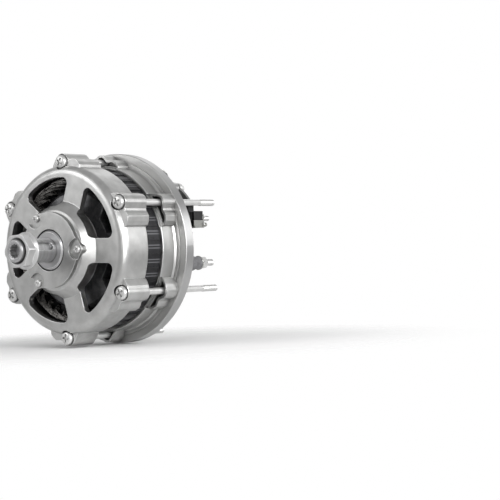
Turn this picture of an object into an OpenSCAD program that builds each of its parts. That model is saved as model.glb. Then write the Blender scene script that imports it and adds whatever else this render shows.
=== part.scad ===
// Engine alternator with a claw-pole rotor, in its own frame.
// The origin is the centre of the flange ring's rear face, the shaft runs along Y with its
// drive end at -Y, and +Z is up. Angles round the shaft run from +X towards +Z.

/* [Housings] */
// Outside diameter of both drums
drum_d = 122; // [120:0.5:124]
// Thickness of the drum wall over the stator
drum_wall = 2.5; // [2:0.1:3]
// Diameter of the flange ring
ring_d = 141; // [139:0.5:150]
// Diameter of the opening inside the flange ring
ring_bore_d = 114.4; // [112:0.2:116]
// Thickness of the flange ring
ring_t = 8.5; // [6:0.5:12]
// Length of the rear drum in front of the ring
rear_drum_l = 14.5; // [13:0.5:18]
// Stretch of the stator left open between the housings
open_l = 16; // [12:0.5:20]
// Length of the front housing from its open edge to its flat face
front_l = 25.5; // [24:0.5:30]
// Thickness of the front face
face_t = 4.5; // [3.5:0.5:5]
// Radius of the shoulder between face and drum
shoulder_r = 6; // [3:0.5:6.5]
// Diameter of the front hub's boss
hub_d = 54; // [53:0.5:57]
// Diameter of the foot of the front hub's cone
cone_d = 70; // [66:1:74]
// Height of the front hub above the flat face
hub_l = 12; // [11:0.5:15]
// Height of the upright wall at the top of the front hub
hub_wall_h = 3.6; // [2:0.2:5]
// Depth over which each housing holds the stator core
reg_l = 6; // [4:0.5:8]
// Thickness of the rear end wall
rear_wall_t = 3.5; // [3:0.25:4.5]
// Outside diameter of the rear hub
rear_hub_d = 39; // [38:0.5:42]

/* [Front windows] */
// Number of windows in the front face
window_count = 5; // [4:1:6]
// Width of the spokes between the windows
spoke_w = 17.4; // [14:0.2:20]
// Diameter through the windows' outer edges
window_out_d = 104.6; // [98:0.2:106]
// Diameter through the windows' inner edges
window_in_d = 64; // [62:0.5:70]
// Radius of the windows' corners
window_corner = 4.5; // [2:0.5:5]
// Angle of the first spoke
spoke_a = -2.2; // [-10:0.1:10]

/* [Through bolts] */
// Number of through bolts
bolt_count = 6; // [4:1:8]
// Diameter of the circle of through bolts
bolt_pcd = 127; // [126:0.5:129]
// Shank diameter of the through bolts
bolt_d = 5; // [4:0.5:6]
// Diameter of the studs, the bolts' threaded ends
stud_d = 4.8; // [3.8:0.1:5.8]
// Length of the studs behind the flange ring
stud_l = 41; // [20:1:60]
// Height of the bolts' plain shank above the flange ring
shank_l = 0.4; // [0.2:0.1:1]
// Width of the groove where the studs' thread runs out
runout_w = 1; // [0.6:0.1:2]
// Depth of that groove
runout_depth = 0.4; // [0.2:0.05:0.6]
// Diameter of the bolt heads
head_d = 9.7; // [8.5:0.1:10.5]
// Height of the bolt heads
head_h = 4; // [3:0.25:5]
// Radius of the front lugs
lug_r = 6; // [5.8:0.1:6.4]
// Radius of the rear lugs
rear_lug_r = 5.8; // [5.6:0.1:6.2]

/* [Stator] */
// Number of stator slots
slot_count = 36; // [24:6:36]
// Width of a stator slot
slot_w = 4.2; // [3:0.1:4.5]
// Depth of a stator slot
slot_depth = 8; // [6:0.5:9]
// Gap between the stator core and the rotor
air_gap = 0.5; // [0.3:0.1:0.8]
// Length of the winding in front of the core
overhang_front = 11.5; // [8:0.5:12]
// Length of the winding behind the core
overhang_rear = 9; // [7:0.5:9]

/* [Rotor] */
// Diameter of the rotor
rotor_d = 88; // [84:0.5:90]
// Length of the rotor over both pole pieces
rotor_l = 38; // [34:0.5:39]
// Number of claws on each pole piece
claw_count = 6; // [5:1:6]
// Thickness of each pole piece's disc
pole_disc_t = 8; // [6:0.5:9]
// Width of a claw at its root
claw_root_w = 22; // [16:0.5:23]
// Width of a claw at its tip
claw_tip_w = 9; // [6:0.5:11]
// Outside diameter of the field coil
coil_d = 64; // [58:1:66]

/* [Shaft] */
// Diameter of the shaft's drive end
shaft_d = 17; // [16:0.5:18]
// Diameter of the shaft inside the pole pieces
core_shaft_d = 22; // [20:0.5:24]
// Diameter of the shaft under the slip rings
slip_shaft_d = 15; // [14:0.5:16]
// Diameter of the shaft in the rear bearing
tail_d = 12; // [11:0.5:12]
// Length of bare shaft between the collar and the nut
drive_l = 21; // [18:0.5:40]
// Width of the keyway
key_w = 6; // [4:0.5:7]
// Depth of the keyway
key_depth = 2.6; // [2:0.1:3.2]
// Angle that the keyway faces
key_a = 22; // [0:1:359]
// Outside diameter of the spacer collar
collar_d = 28.2; // [26:0.1:29]
// How far the collar stands out of the front hub
collar_out = 1; // [0.5:0.1:3]
// Width of the shaft nut across its flats
nut_af = 22.5; // [20:0.5:27]
// Height of the shaft nut's hexagon
nut_h = 5.9; // [4:0.1:13]
// Diameter of the shaft nut's flange
nut_flange_d = 26.4; // [26:0.2:30]
// Thickness of the shaft nut's flange
nut_flange_t = 3.3; // [2.8:0.1:4]
// Angle of the shaft nut's first corner
nut_a = 4; // [0:1:59]
// How far the shaft's threaded end stands out of its nut
tip_out = 2.6; // [0.6:0.1:4]

/* [Bearings] */
// Outside diameter of the front bearing
fb_d = 47; // [45:0.5:47]
// Width of the front bearing
fb_w = 14; // [12:0.5:14]
// Diameter of the front bearing's balls
fb_ball_d = 9; // [7:0.1:9]
// Outside diameter of the rear bearing
rb_d = 32; // [30:0.5:32]
// Width of the rear bearing
rb_w = 10; // [9:0.5:11]
// Diameter of the rear bearing's balls
rb_ball_d = 5.9; // [5:0.1:6]
// Number of balls in each bearing
ball_count = 7; // [6:1:7]

/* [Slip rings and brushes] */
// Diameter of the slip rings
slip_d = 28; // [26:0.5:29]
// Width of each slip ring
slip_w = 6; // [5:0.25:7]
// Distance between the slip rings' middles
slip_pitch = 8; // [7.5:0.25:9]
// Width of a brush along the shaft
brush_w = 4.6; // [4:0.1:5]
// Width of a brush across the shaft
brush_t = 7; // [5:0.5:8]
// Length of a new brush
brush_l = 13; // [10:0.5:14]
// Travel that a brush has away from its slip ring
brush_travel = 5; // [3:0.5:6]

/* [Regulator] */
// Height of the regulator's seat behind the ring
reg_seat = 12; // [11:0.5:14]
// Thickness of the regulator's base plate
reg_plate_t = 2.5; // [2:0.25:4]
// Width of the regulator's ribbed body
reg_w = 35.5; // [30:0.5:40]
// Height of the regulator's ribbed body
reg_h = 26.3; // [22:0.1:28]
// Depth of the regulator's ribbed body
reg_deep = 6; // [4:0.5:9]
// Number of ribs on the regulator
rib_count = 5; // [4:1:7]

/* [Rectifier] */
// Height of the heat sinks' seat behind the ring
sink_seat = 26.5; // [25:0.5:28]
// Thickness of the heat sinks
sink_t = 2.5; // [2:0.25:3]
// Height of the rectifier's body behind the ring
rect_top = 30.5; // [30:0.5:33]
// Distance between the three phase leads
lead_pitch = 14.9; // [13:0.1:15.2]
// Diameter of the phase leads
lead_d = 2.6; // [2:0.1:3]

/* [Terminals] */
// Thread diameter of the main terminal's stud
main_stud_d = 5; // [4:0.5:6]
// Height of the main terminal's stud behind the ring
main_stud_top = 49.5; // [45:0.5:52]
// Thread diameter of the small terminals' studs
small_stud_d = 4; // [3:0.5:5]
// Height of the small terminal's stud behind the ring
small_stud_top = 51.5; // [46:0.5:54]
// Diameter of the thin leads
wire_d = 2.2; // [1.6:0.1:2.4]
// Diameter of the black lead round the cap
band_d = 3; // [2:0.1:3.2]

/* [Hidden] */
$fn = 72;
// Clearance round pieces that don't move in each other
fit = 0.03;
// Clearance of loosely placed pieces
loose = 0.3;
// Overrun of a cutting tool past a face
over = 1;

drum_r = drum_d / 2;
ring_r = ring_d / 2;
ring_bore_r = ring_bore_d / 2;
bolt_r = bolt_pcd / 2;
core_r = drum_r - drum_wall;
inner_r = core_r - 1.5;
bore_r = rotor_d / 2 + air_gap;
slot_r = bore_r + 1.5 + slot_depth;
y_seam = -(ring_t + rear_drum_l);
y_open = y_seam - open_l;
y_face = y_open - front_l;
y_hub = y_face - hub_l;
y_core0 = y_open - reg_l;
y_core1 = y_seam + reg_l;
y_mid = (y_core0 + y_core1) / 2;
y_pole0 = y_mid - rotor_l / 2;
y_pole1 = y_mid + rotor_l / 2;

// Front bearing: its seat ends level with the inside of the front face
y_fb1 = y_face + face_t;
y_fb0 = y_fb1 - fb_w;
lip_r = collar_d / 2 + 0.9;
retainer_t = 2.5;
ear_r = 4;
ear_at = 26.8;
ear_spot_r = 7.5;
ear_spot_depth = 1.8;
retainer_screw_d = 4;
retainer_head_r = 3.5;
retainer_head_h = 2.6;

// Rear end wall: a cone that rises from the ring to the rear hub
rear_drop = 2;
rear_rise = 11.5;
rear_hub_r = rear_hub_d / 2;
y_rb0 = 10.5;
y_rb1 = y_rb0 + rb_w;
y_carrier0 = y_pole1 + 0.4;
slip_mid = 2;
y_slip0 = slip_mid - slip_pitch / 2;
y_slip1 = slip_mid + slip_pitch / 2;
chamber_r = slip_d / 2 + 1.2;
chamber_wall = 3.8;
y_chamber0 = -8;
cap_t = 3.4;
cap_d = 38.5;

head_seat = y_face + 5;
lug_front = head_seat - 1;
lug_back = y_open + 0.5;
lug_wall = 1.8;
lug_round = 1;
y_rear_lug = y_seam + 2.7;
y_pocket = y_seam + 8;
spot_r = head_d / 2 + 0.75;
stud_hole_r = bolt_d / 2 + fit;
top_hole_r = 3.5;
head_edge_r = 1.6;
recess_l = 4.6;
recess_w = 1.3;
recess_depth = 1.5;
short_a = 90;
bolt_step = 360 / bolt_count;

// Brush holder, hanging from the regulator's base plate
holder_w = brush_t + 8;
holder_y0 = slip_mid - slip_pitch / 2 - brush_w / 2 - 1.6;
holder_y1 = y_rb0 - 0.4;
holder_top = 17;
brush_tip = slip_d / 2 + 0.1;
holder_foot = brush_tip + brush_l + brush_travel + 6;
brush_gap = 0.15;

// Places of the rear fittings as [x, z]
reg_screw_at = [[31.4, -34.8], [-31, -35]];
reg_mid_x = -1.6;
reg_top_z = -22.3;
sink_screw_at = [[30.4, 43.4], [-26.2, 43.6]];
main_at = [45.1, -12.8];
small_at = [40.9, 20.6];
right_at = [-43.2, -12.9];
bracket_at = [-26.9, 16.3];
lead_mid_x = 1.9;
main_pad = [42.6, -12.8];
main_pad_w = 14.4;
right_block_w = 18.4;
bar_z0 = 25.2;
bar_z1 = 31.6;
bar_x = 46.4;
body_x0 = -21;
body_x1 = 27;
body_z1 = 56.2;
main_seat = 20;
boss_r = 4.8;
reg_boss_r = 5;
bracket_boss_r = 5.5;
boss_root = 2;
rear_thread_d = 3.7;
rear_tap_r = rear_thread_d / 2 + 0.05;
rear_clear_r = 2.1;
tap_depth = 9;
lead_hole_z = 48.8;
right_pad_y = 6;

// Points on an arc about c, from angle a0 to a1 in n steps
function arc(c, r, a0, a1, n = 8) =
  [for (k = [0:n]) let (a = a0 + (a1 - a0) * k / n) [c[0] + r * cos(a), c[1] + r * sin(a)]];

// Height of the rear end wall's outer face at radius r
function deck(r) = -rear_drop + rear_rise * (ring_bore_r - r) / (ring_bore_r - rear_hub_r);

// A solid turned about the shaft's axis from an outline in (radius, y)
module turned() rotate([-90, 0, 0]) rotate_extrude() children();

// A plate from y0 to y1 with its outline in (x, z)
module slab(y0, y1) translate([0, y1, 0]) rotate([90, 0, 0]) linear_extrude(y1 - y0) children();

// A round bar along the shaft's direction
module rod(r, y0, y1) translate([0, y0, 0]) rotate([-90, 0, 0]) cylinder(r = r, h = y1 - y0);

// A round bar whose radius changes from ra to rb
module taper(ra, rb, y0, y1)
  translate([0, y0, 0]) rotate([-90, 0, 0]) cylinder(r1 = ra, r2 = rb, h = y1 - y0);

// Turns its children to angle a and moves them out to radius r
module at(a, r = 0) rotate([0, -a, 0]) translate([r, 0, 0]) children();

// Moves its children to a place on the rear
module spot(p) translate([p[0], 0, p[1]]) children();

// An outline in (y, across) pushed outwards from radius r0 to r1
module outward(r0, r1) translate([r0, 0, 0]) rotate([90, 0, 90]) linear_extrude(r1 - r0) children();

// A rectangle with rounded corners, centred
module soft_square(w, h, r) {
  square([w - 2 * r, h], center = true);
  square([w, h - 2 * r], center = true);
  for (i = [-1, 1])
    for (j = [-1, 1])
      translate([i * (w / 2 - r), j * (h / 2 - r)]) circle(r);
}

// A ring in the plane of a slab
module annulus(ro, ri) {
  difference() {
    circle(ro);
    circle(ri);
  }
}

// A hexagon with flats across af, corners along x
module hexagon(af) circle(r = af / 2 / cos(30), $fn = 6);

// Front housing

module front_outline() {
  polygon(concat(
    [[0, y_open], [drum_r, y_open]],
    arc([drum_r - shoulder_r, y_face + shoulder_r], shoulder_r, 0, -90),
    [[cone_d / 2, y_face], [hub_d / 2 + 1.8, y_hub + hub_wall_h + 0.9],
     [hub_d / 2, y_hub + hub_wall_h], [hub_d / 2, y_hub + 0.4], [hub_d / 2 - 0.4, y_hub],
     [0, y_hub]]));
}

module front_cavity() {
  polygon([
    [0, y_open + over], [core_r, y_open + over], [core_r, y_core0], [inner_r, y_core0],
    [inner_r, y_fb1 + 2.5], [inner_r - 2.5, y_fb1], [fb_d / 2, y_fb1], [fb_d / 2, y_fb0],
    [lip_r, y_fb0], [lip_r, y_hub - over], [0, y_hub - over]]);
}

module window_outline() {
  half = 180 / window_count;
  apex = spoke_w / 2 / sin(half);
  far = 2 * drum_r;
  offset(r = window_corner) offset(delta = -window_corner)
    intersection() {
      annulus(window_out_d / 2, window_in_d / 2, $fn = 160);
      polygon([[apex, 0], [apex + far * cos(half), far * sin(half)],
               [apex + far * cos(half), -far * sin(half)]]);
    }
}

// A lug round its bolt in (radius, across): a slope on one side and a low step on the other
module lug_outline(r) {
  difference() {
    offset(r = lug_round) offset(r = -2 * lug_round) offset(delta = lug_round)
      union() {
        translate([bolt_r, 0]) circle(r);
        polygon([
          [inner_r, r + 4], [drum_r + 0.2, r + 3.2], [bolt_r + 1.8, r + 0.6],
          [bolt_r + 0.78 * r, 0.6 * r], [bolt_r, 0], [bolt_r + 0.8 * r, -0.6 * r],
          [bolt_r + 2, -r - 0.4], [bolt_r + 1.4, -r - 2], [bolt_r + 1.7, -r - 4],
          [bolt_r + 1.5, -r - 6.4], [bolt_r - 0.7, -r - 9.6], [drum_r - 0.4, -r - 11.2],
          [inner_r, -r - 11.5]]);
      }
    circle(core_r + 1);
  }
}

module ear_outline() {
  circle(hub_d / 2);
  for (k = [0:2])
    rotate(120 * k) {
      translate([ear_at, 0]) circle(ear_r);
      polygon([[0, 0], [hub_d / 2 * cos(24), hub_d / 2 * sin(24)],
               [ear_at + ear_r / 2, ear_r * sin(60)], [ear_at + ear_r / 2, -ear_r * sin(60)],
               [hub_d / 2 * cos(24), -hub_d / 2 * sin(24)]]);
    }
}

module front_housing() {
  color("silver")
    difference() {
      union() {
        turned() front_outline();
        slab(y_hub, y_face + 1) ear_outline();
        for (k = [0:bolt_count - 1])
          at(short_a + bolt_step * k) slab(lug_front, lug_back) lug_outline(lug_r);
      }
      turned() front_cavity();
      slab(y_hub - over, y_fb1 + over)
        for (k = [0:window_count - 1])
          rotate(spoke_a + 360 / window_count * (k + 0.5)) window_outline();
      for (k = [0:bolt_count - 1])
        at(short_a + bolt_step * k, bolt_r) {
          rod(bolt_d / 2 + 0.25, lug_front - 8, lug_back + over);
          rod(spot_r, lug_front - 8, head_seat);
        }
      for (k = [0:2])
        at(120 * k, ear_at) {
          rod(ear_spot_r, y_hub - over, y_hub + ear_spot_depth);
          rod(retainer_screw_d / 2 + 0.1, y_hub, y_fb1 + over);
        }
    }
}

// Rear housing with the flange ring

module rear_outline() {
  polygon([
    [0, y_seam], [drum_r - 0.4, y_seam], [drum_r, y_seam + 0.4], [drum_r, -ring_t - 2.5],
    [drum_r + 1, -ring_t - 1], [drum_r + 3.5, -ring_t - 1], [drum_r + 3.5, -ring_t],
    [ring_r - 0.5, -ring_t], [ring_r, -ring_t + 0.5], [ring_r, -0.5], [ring_r - 0.5, 0],
    [ring_bore_r, 0], [ring_bore_r, -rear_drop], [rear_hub_r, deck(rear_hub_r)],
    [rear_hub_r, y_rb1], [0, y_rb1]]);
}

module rear_cavity() {
  chamber_out = chamber_r + chamber_wall;
  difference() {
    polygon([
      [0, y_seam - over], [core_r, y_seam - over], [core_r, y_core1], [inner_r, y_core1],
      [inner_r, deck(inner_r) - rear_wall_t], [chamber_out, deck(chamber_out) - rear_wall_t],
      [0, deck(chamber_out) - rear_wall_t]]);
    polygon([[0, y_chamber0], [chamber_out, y_chamber0], [chamber_out, 2 * y_rb1], [0, 2 * y_rb1]]);
  }
  polygon([
    [0, y_chamber0 - over], [chamber_r, y_chamber0 - over], [chamber_r, y_rb0], [rb_d / 2, y_rb0],
    [rb_d / 2, y_rb1 + over], [0, y_rb1 + over]]);
}

// A pocket that opens a rear lug to the front and notches the drum's edge there
module lug_pocket() {
  slab(y_seam - over, y_rear_lug) difference() {
    offset(delta = 0.2) lug_outline(rear_lug_r);
    circle(core_r + 1.3);
  }
  slab(y_seam, y_pocket) difference() {
    offset(delta = -lug_wall) lug_outline(rear_lug_r);
    circle(core_r + 1.3);
  }
}

// Air openings in the rear end wall
module rear_openings() {
  side_r = ring_bore_r - 1.7;
  intersection() {
    circle(side_r);
    union() {
      translate([side_r, 11.2]) soft_square(2 * (side_r - 44.5), 28.4, 3);
      translate([-side_r, 11.2]) soft_square(2 * (side_r - 39), 28.4, 3);
      intersection() {
        annulus(side_r - 2.5, 41);
        polygon([[0, 0], [-26, -60], [26, -60]]);
      }
    }
  }
  for (i = [-1, 1])
    offset(r = 1.5) polygon([[i * 36.6, -26.6], [i * 45.4, -26.3], [i * 41.9, -31.2]]);
}

module rear_housing() {
  color("silver")
    difference() {
      union() {
        difference() {
          union() {
            turned() rear_outline();
            for (k = [0:bolt_count - 1])
              at(short_a + bolt_step * k) slab(y_rear_lug, -ring_t + over) lug_outline(rear_lug_r);
          }
          turned() rear_cavity();
          slab(-ring_t, 2 * y_rb1) rear_openings();
        }
        for (p = reg_screw_at)
          spot(p) rod(reg_boss_r, deck(norm(p)) - boss_root, reg_seat);
        for (p = sink_screw_at)
          spot(p) rod(boss_r, deck(norm(p)) - boss_root, sink_seat);
        spot(main_pad) slab(-rear_drop - boss_root, main_seat) soft_square(main_pad_w, main_pad_w + 1.3, 2.5);
        spot(bracket_at) rod(bracket_boss_r, deck(norm(bracket_at)) - boss_root, sink_seat);
        spot([right_at[0] + 0.4, right_at[1] - 0.4])
          slab(-rear_drop - boss_root, right_pad_y) soft_square(right_block_w - 1, right_block_w - 1, 2.5);
      }
      for (k = [0:bolt_count - 1])
        at(short_a + bolt_step * k, bolt_r) {
          rod(k == 0 ? top_hole_r : stud_hole_r, -ring_t, over);
          rod(stud_hole_r, y_seam - 5, over);
        }
      for (k = [0:bolt_count - 1])
        at(short_a + bolt_step * k) lug_pocket();
      slab(y_chamber0 - over, y_rb0 - 0.1)
        translate([-holder_w / 2 - 0.5, -holder_foot - 1]) square([holder_w + 1, holder_foot - 9]);
      for (p = reg_screw_at)
        spot(p) rod(rear_tap_r, reg_seat - tap_depth, reg_seat + over);
      for (p = sink_screw_at)
        spot(p) rod(rear_tap_r, sink_seat - tap_depth, sink_seat + over);
      spot(bracket_at) rod(rear_tap_r, sink_seat - tap_depth, sink_seat + over);
      spot(main_at) rod(main_stud_d / 2 + fit, main_seat - 12, main_seat + over);
      for (k = [0:2])
        spot([lead_x(k), lead_hole_z]) rod(lead_d / 2 + 0.7, -rear_drop - 8, 3);
    }
}

// Stator

module core_outline() {
  difference() {
    circle(core_r - fit);
    circle(bore_r);
    for (k = [0:slot_count - 1])
      rotate(360 / slot_count * k) {
        translate([bore_r + 1.5, -slot_w / 2]) square([slot_depth, slot_w]);
        translate([bore_r - over, -1.1]) square([2 * over + 1, 2.2]);
      }
  }
}

module stator_core() {
  color("dimgray") {
    slab(y_core0 + fit, y_core1 - fit) core_outline();
    for (k = [0:slot_count - 1])
      at(360 / slot_count * (k + 0.5), core_r - 0.5)
        slab(y_open + loose, y_seam - loose) translate([0, -0.7]) square([1.1, 1.4]);
  }
}

module stator_winding() {
  coil_r0 = bore_r + 1.7;
  coil_r1 = inner_r - 1;
  end_r = 3;
  y0 = y_core0 - overhang_front;
  y1 = y_core1 + overhang_rear;
  color("sienna") {
    turned() polygon(concat(
      [[coil_r0, y_core0 - loose], [coil_r0, y0 + end_r]],
      arc([coil_r0 + end_r, y0 + end_r], end_r, 180, 270),
      arc([coil_r1 - end_r, y0 + end_r], end_r, 270, 360),
      [[coil_r1, y_core0 - loose]]));
    turned() polygon(concat(
      [[coil_r0, y_core1 + loose], [coil_r1, y_core1 + loose], [coil_r1, y1 - end_r]],
      arc([coil_r1 - end_r, y1 - end_r], end_r, 0, 90),
      arc([coil_r0 + end_r, y1 - end_r], end_r, 90, 180)));
    for (k = [0:slot_count - 1])
      at(360 / slot_count * k)
        slab(y_core0 - 1, y_core1 + 1)
          translate([coil_r0, -slot_w / 2 + 0.2]) square([slot_r - coil_r0 - 0.2, slot_w - 0.4]);
  }
}

// Through bolts

module pan_head() {
  difference() {
    turned() polygon(concat(
      [[0, head_seat], [head_d / 2, head_seat], [head_d / 2, head_seat - head_h + head_edge_r]],
      arc([head_d / 2 - head_edge_r, head_seat - head_h + head_edge_r], head_edge_r, 0, -90, 6),
      [[0, head_seat - head_h]]));
    for (a = [45, 135])
      rotate([0, a, 0])
        translate([0, head_seat - head_h, 0])
          cube([recess_l, 2 * recess_depth, recess_w], center = true);
  }
}

bolt_tip = 0.6;

module bolt(y1) {
  pan_head();
  rod(bolt_d / 2, head_seat - 0.5, y1);
}

// The studs are a little thinner than the shank, with a groove between the two
module through_bolts() {
  stud_y0 = shank_l + runout_w;
  color("gainsboro")
    for (k = [1:bolt_count - 1])
      at(short_a + bolt_step * k, bolt_r) {
        bolt(shank_l);
        rod(stud_d / 2 - runout_depth, shank_l - over, stud_y0 + over);
        rod(stud_d / 2, stud_y0, stud_l - bolt_tip);
        taper(stud_d / 2, stud_d / 2 - bolt_tip, stud_l - bolt_tip, stud_l);
      }
}

module short_bolt() {
  color("gainsboro")
    at(short_a, bolt_r) {
      bolt(-bolt_tip - 0.2);
      taper(bolt_d / 2, bolt_d / 2 - bolt_tip, -bolt_tip - 0.2, -0.2);
    }
}

// Front bearing and its retainer

module bearing_retainer() {
  color("darkgray")
    slab(y_fb1 + fit, y_fb1 + retainer_t)
      difference() {
        circle(ear_at + ear_r);
        circle(core_shaft_d / 2 + 1.5);
        for (k = [0:2])
          rotate(120 * k) translate([ear_at, 0]) circle(retainer_screw_d / 2 + fit);
      }
}

module retainer_screws() {
  seat = y_hub + ear_spot_depth;
  color("gainsboro")
    for (k = [0:2])
      at(120 * k, ear_at) {
        difference() {
          taper(retainer_head_r - 0.6, retainer_head_r, seat - retainer_head_h, seat);
          for (a = [0, 90])
            rotate([0, a, 0])
              translate([0, seat - retainer_head_h, 0]) cube([3.2, 2, 0.9], center = true);
        }
        rod(retainer_screw_d / 2, seat - 0.4, y_fb1 + retainer_t);
      }
}

// Outer ring of a ball bearing
module outer_race(ro, w, ball_r, ball_at, y0) {
  turned()
    difference() {
      translate([ball_at + 0.62 * ball_r, y0]) square([ro - ball_at - 0.62 * ball_r, w]);
      translate([ball_at, y0 + w / 2]) circle(ball_r + 0.12);
    }
}

// Inner ring of a ball bearing
module inner_race(ri, w, ball_r, ball_at, y0) {
  turned()
    difference() {
      translate([ri, y0]) square([ball_at - 0.62 * ball_r - ri, w]);
      translate([ball_at, y0 + w / 2]) circle(ball_r + 0.12);
    }
}

// Balls and their cage
module ball_set(w, ball_r, ball_at, y0) {
  for (k = [0:ball_count - 1])
    at(360 / ball_count * k, ball_at) translate([0, y0 + w / 2, 0]) sphere(ball_r);
  difference() {
    turned()
      translate([ball_at - 0.26 * ball_r, y0 + w / 2 - 1.22 * ball_r])
        square([0.52 * ball_r, 2.44 * ball_r]);
    for (k = [0:ball_count - 1])
      at(360 / ball_count * k, ball_at)
        translate([-ball_r, y0 + w / 2, 0]) rotate([0, 90, 0]) cylinder(r = ball_r + 0.15, h = 2 * ball_r);
  }
}

fb_at = (fb_d / 2 + shaft_d / 2) / 2;
rb_at = (rb_d / 2 + tail_d / 2) / 2;

module front_bearing_outer()
  color("lightsteelblue") outer_race(fb_d / 2 - fit, fb_w, fb_ball_d / 2, fb_at, y_fb0);

module front_bearing_inner()
  color("lightsteelblue") inner_race(shaft_d / 2 + fit, fb_w, fb_ball_d / 2, fb_at, y_fb0);

module front_bearing_balls()
  color("gold") ball_set(fb_w, fb_ball_d / 2, fb_at, y_fb0);

module rear_bearing_outer()
  color("lightsteelblue") outer_race(rb_d / 2 - fit, rb_w, rb_ball_d / 2, rb_at, y_rb0);

module rear_bearing_inner()
  color("lightsteelblue") inner_race(tail_d / 2 + fit, rb_w, rb_ball_d / 2, rb_at, y_rb0);

module rear_bearing_balls()
  color("gold") ball_set(rb_w, rb_ball_d / 2, rb_at, y_rb0);

// Shaft with its collar and nut

y_collar0 = y_hub - collar_out;
y_nut1 = y_collar0 - drive_l;
y_nut0 = y_nut1 - nut_flange_t - nut_h;
thread_r = shaft_d / 2 - 0.5;
shaft_tip = y_nut0 - tip_out;
tip_chamfer = 0.8;
y_tail1 = y_rb1 - 1;

module shaft() {
  key_end = y_collar0 - 2.5 - key_w / 2;
  color("gainsboro")
    difference() {
      union() {
        taper(thread_r - tip_chamfer, thread_r, shaft_tip, shaft_tip + tip_chamfer);
        rod(thread_r, shaft_tip + tip_chamfer, y_nut1);
        rod(shaft_d / 2, y_nut1, y_fb1);
        rod(core_shaft_d / 2, y_fb1, y_pole1);
        rod(slip_shaft_d / 2, y_pole1, y_rb0 - 0.3);
        rod(tail_d / 2, y_rb0 - 0.3, y_tail1 - 0.6);
        taper(tail_d / 2, tail_d / 2 - 0.6, y_tail1 - 0.6, y_tail1);
      }
      at(key_a, shaft_d / 2 - key_depth) {
        translate([0, y_nut1 - over, -key_w / 2]) cube([key_depth + over, key_end - y_nut1 + over, key_w]);
        translate([0, key_end, 0]) rotate([0, 90, 0]) cylinder(d = key_w, h = key_depth + over);
      }
      for (a = [0, 30])
        rotate([0, a, 0]) slab(shaft_tip - over, shaft_tip + 6) circle(r = 5.2, $fn = 6);
      taper(6, 5, shaft_tip - 0.01, shaft_tip + 0.6);
    }
}

module spacer_collar() {
  chamfer = 1.2;
  color("silver")
    turned() polygon([
      [shaft_d / 2 + fit, y_collar0], [collar_d / 2 - chamfer, y_collar0],
      [collar_d / 2, y_collar0 + chamfer], [collar_d / 2, y_fb0 - 0.5],
      [collar_d / 2 - 2.2, y_fb0], [shaft_d / 2 + fit, y_fb0]]);
}

// Hexagon with a 30 degree chamfer, on a flange whose front is a cone
module shaft_nut() {
  rim = 1.1;
  face_r = nut_af / 2 + 1;
  y_foot = y_nut1 - rim - 0.3;
  color("gainsboro")
    difference() {
      union() {
        intersection() {
          rotate([0, -nut_a, 0]) slab(y_nut0, y_foot) hexagon(nut_af);
          taper(face_r, face_r + (y_foot - y_nut0) / tan(30), y_nut0, y_foot);
        }
        turned() polygon([
          [0, y_nut1 - nut_flange_t], [nut_af / 2 - 0.3, y_nut1 - nut_flange_t],
          [nut_flange_d / 2, y_nut1 - rim], [nut_flange_d / 2, y_nut1 - 0.3],
          [nut_flange_d / 2 - 0.3, y_nut1], [0, y_nut1]]);
      }
      rod(thread_r + fit, y_nut0 - over, y_nut1 + over);
      taper(thread_r + 1.6, thread_r, y_nut0 - 0.01, y_nut0 + 1.6);
    }
}

// Rotor

// One claw pole with its disc, its hub and its claws, open towards +Y
module claw_pole() {
  disc_r = coil_d / 2 + 1;
  tip_y = y_pole1 - 2;
  root_y = y_pole0 + pole_disc_t;
  claw_r = rotor_d / 2;
  difference() {
    union() {
      rod(disc_r, y_pole0, root_y);
      rod(core_shaft_d / 2 + 5, y_pole0, y_mid);
      for (k = [0:claw_count - 1])
        at(360 / claw_count * k)
          intersection() {
            turned() polygon([
              [disc_r - 6, y_pole0], [claw_r - 2.5, y_pole0], [claw_r, y_pole0 + 2.5],
              [claw_r, tip_y], [claw_r - 4, tip_y], [disc_r + 1.5, root_y],
              [disc_r - 6, root_y]]);
            outward(disc_r - 10, claw_r + over) polygon([
              [y_pole0 - over, -claw_root_w / 2], [root_y, -claw_root_w / 2],
              [tip_y + over, -claw_tip_w / 2], [tip_y + over, claw_tip_w / 2],
              [root_y, claw_root_w / 2], [y_pole0 - over, claw_root_w / 2]]);
          }
    }
    rod(core_shaft_d / 2 + fit, y_pole0 - over, y_pole1);
  }
}

module pole_front() {
  color("slategray") claw_pole();
}

module pole_rear() {
  color("slategray")
    translate([0, 2 * y_mid, 0]) mirror([0, 1, 0]) rotate([0, 180 / claw_count, 0]) claw_pole();
}

module coil_bobbin() {
  hub_r = core_shaft_d / 2 + 5 + 0.1;
  y0 = y_pole0 + pole_disc_t + 0.1;
  y1 = y_pole1 - pole_disc_t - 0.1;
  color("wheat")
    turned() polygon([
      [hub_r, y0], [coil_d / 2, y0], [coil_d / 2, y0 + 1], [hub_r + 1, y0 + 1],
      [hub_r + 1, y1 - 1], [coil_d / 2, y1 - 1], [coil_d / 2, y1], [hub_r, y1]]);
}

module field_coil() {
  hub_r = core_shaft_d / 2 + 6.1;
  y0 = y_pole0 + pole_disc_t + 1.1;
  y1 = y_pole1 - pole_disc_t - 1.1;
  color("sienna")
    turned() polygon([
      [hub_r + fit, y0 + fit], [coil_d / 2 - 0.5, y0 + fit],
      [coil_d / 2 - 0.5, y1 - fit], [hub_r + fit, y1 - fit]]);
}

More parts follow.
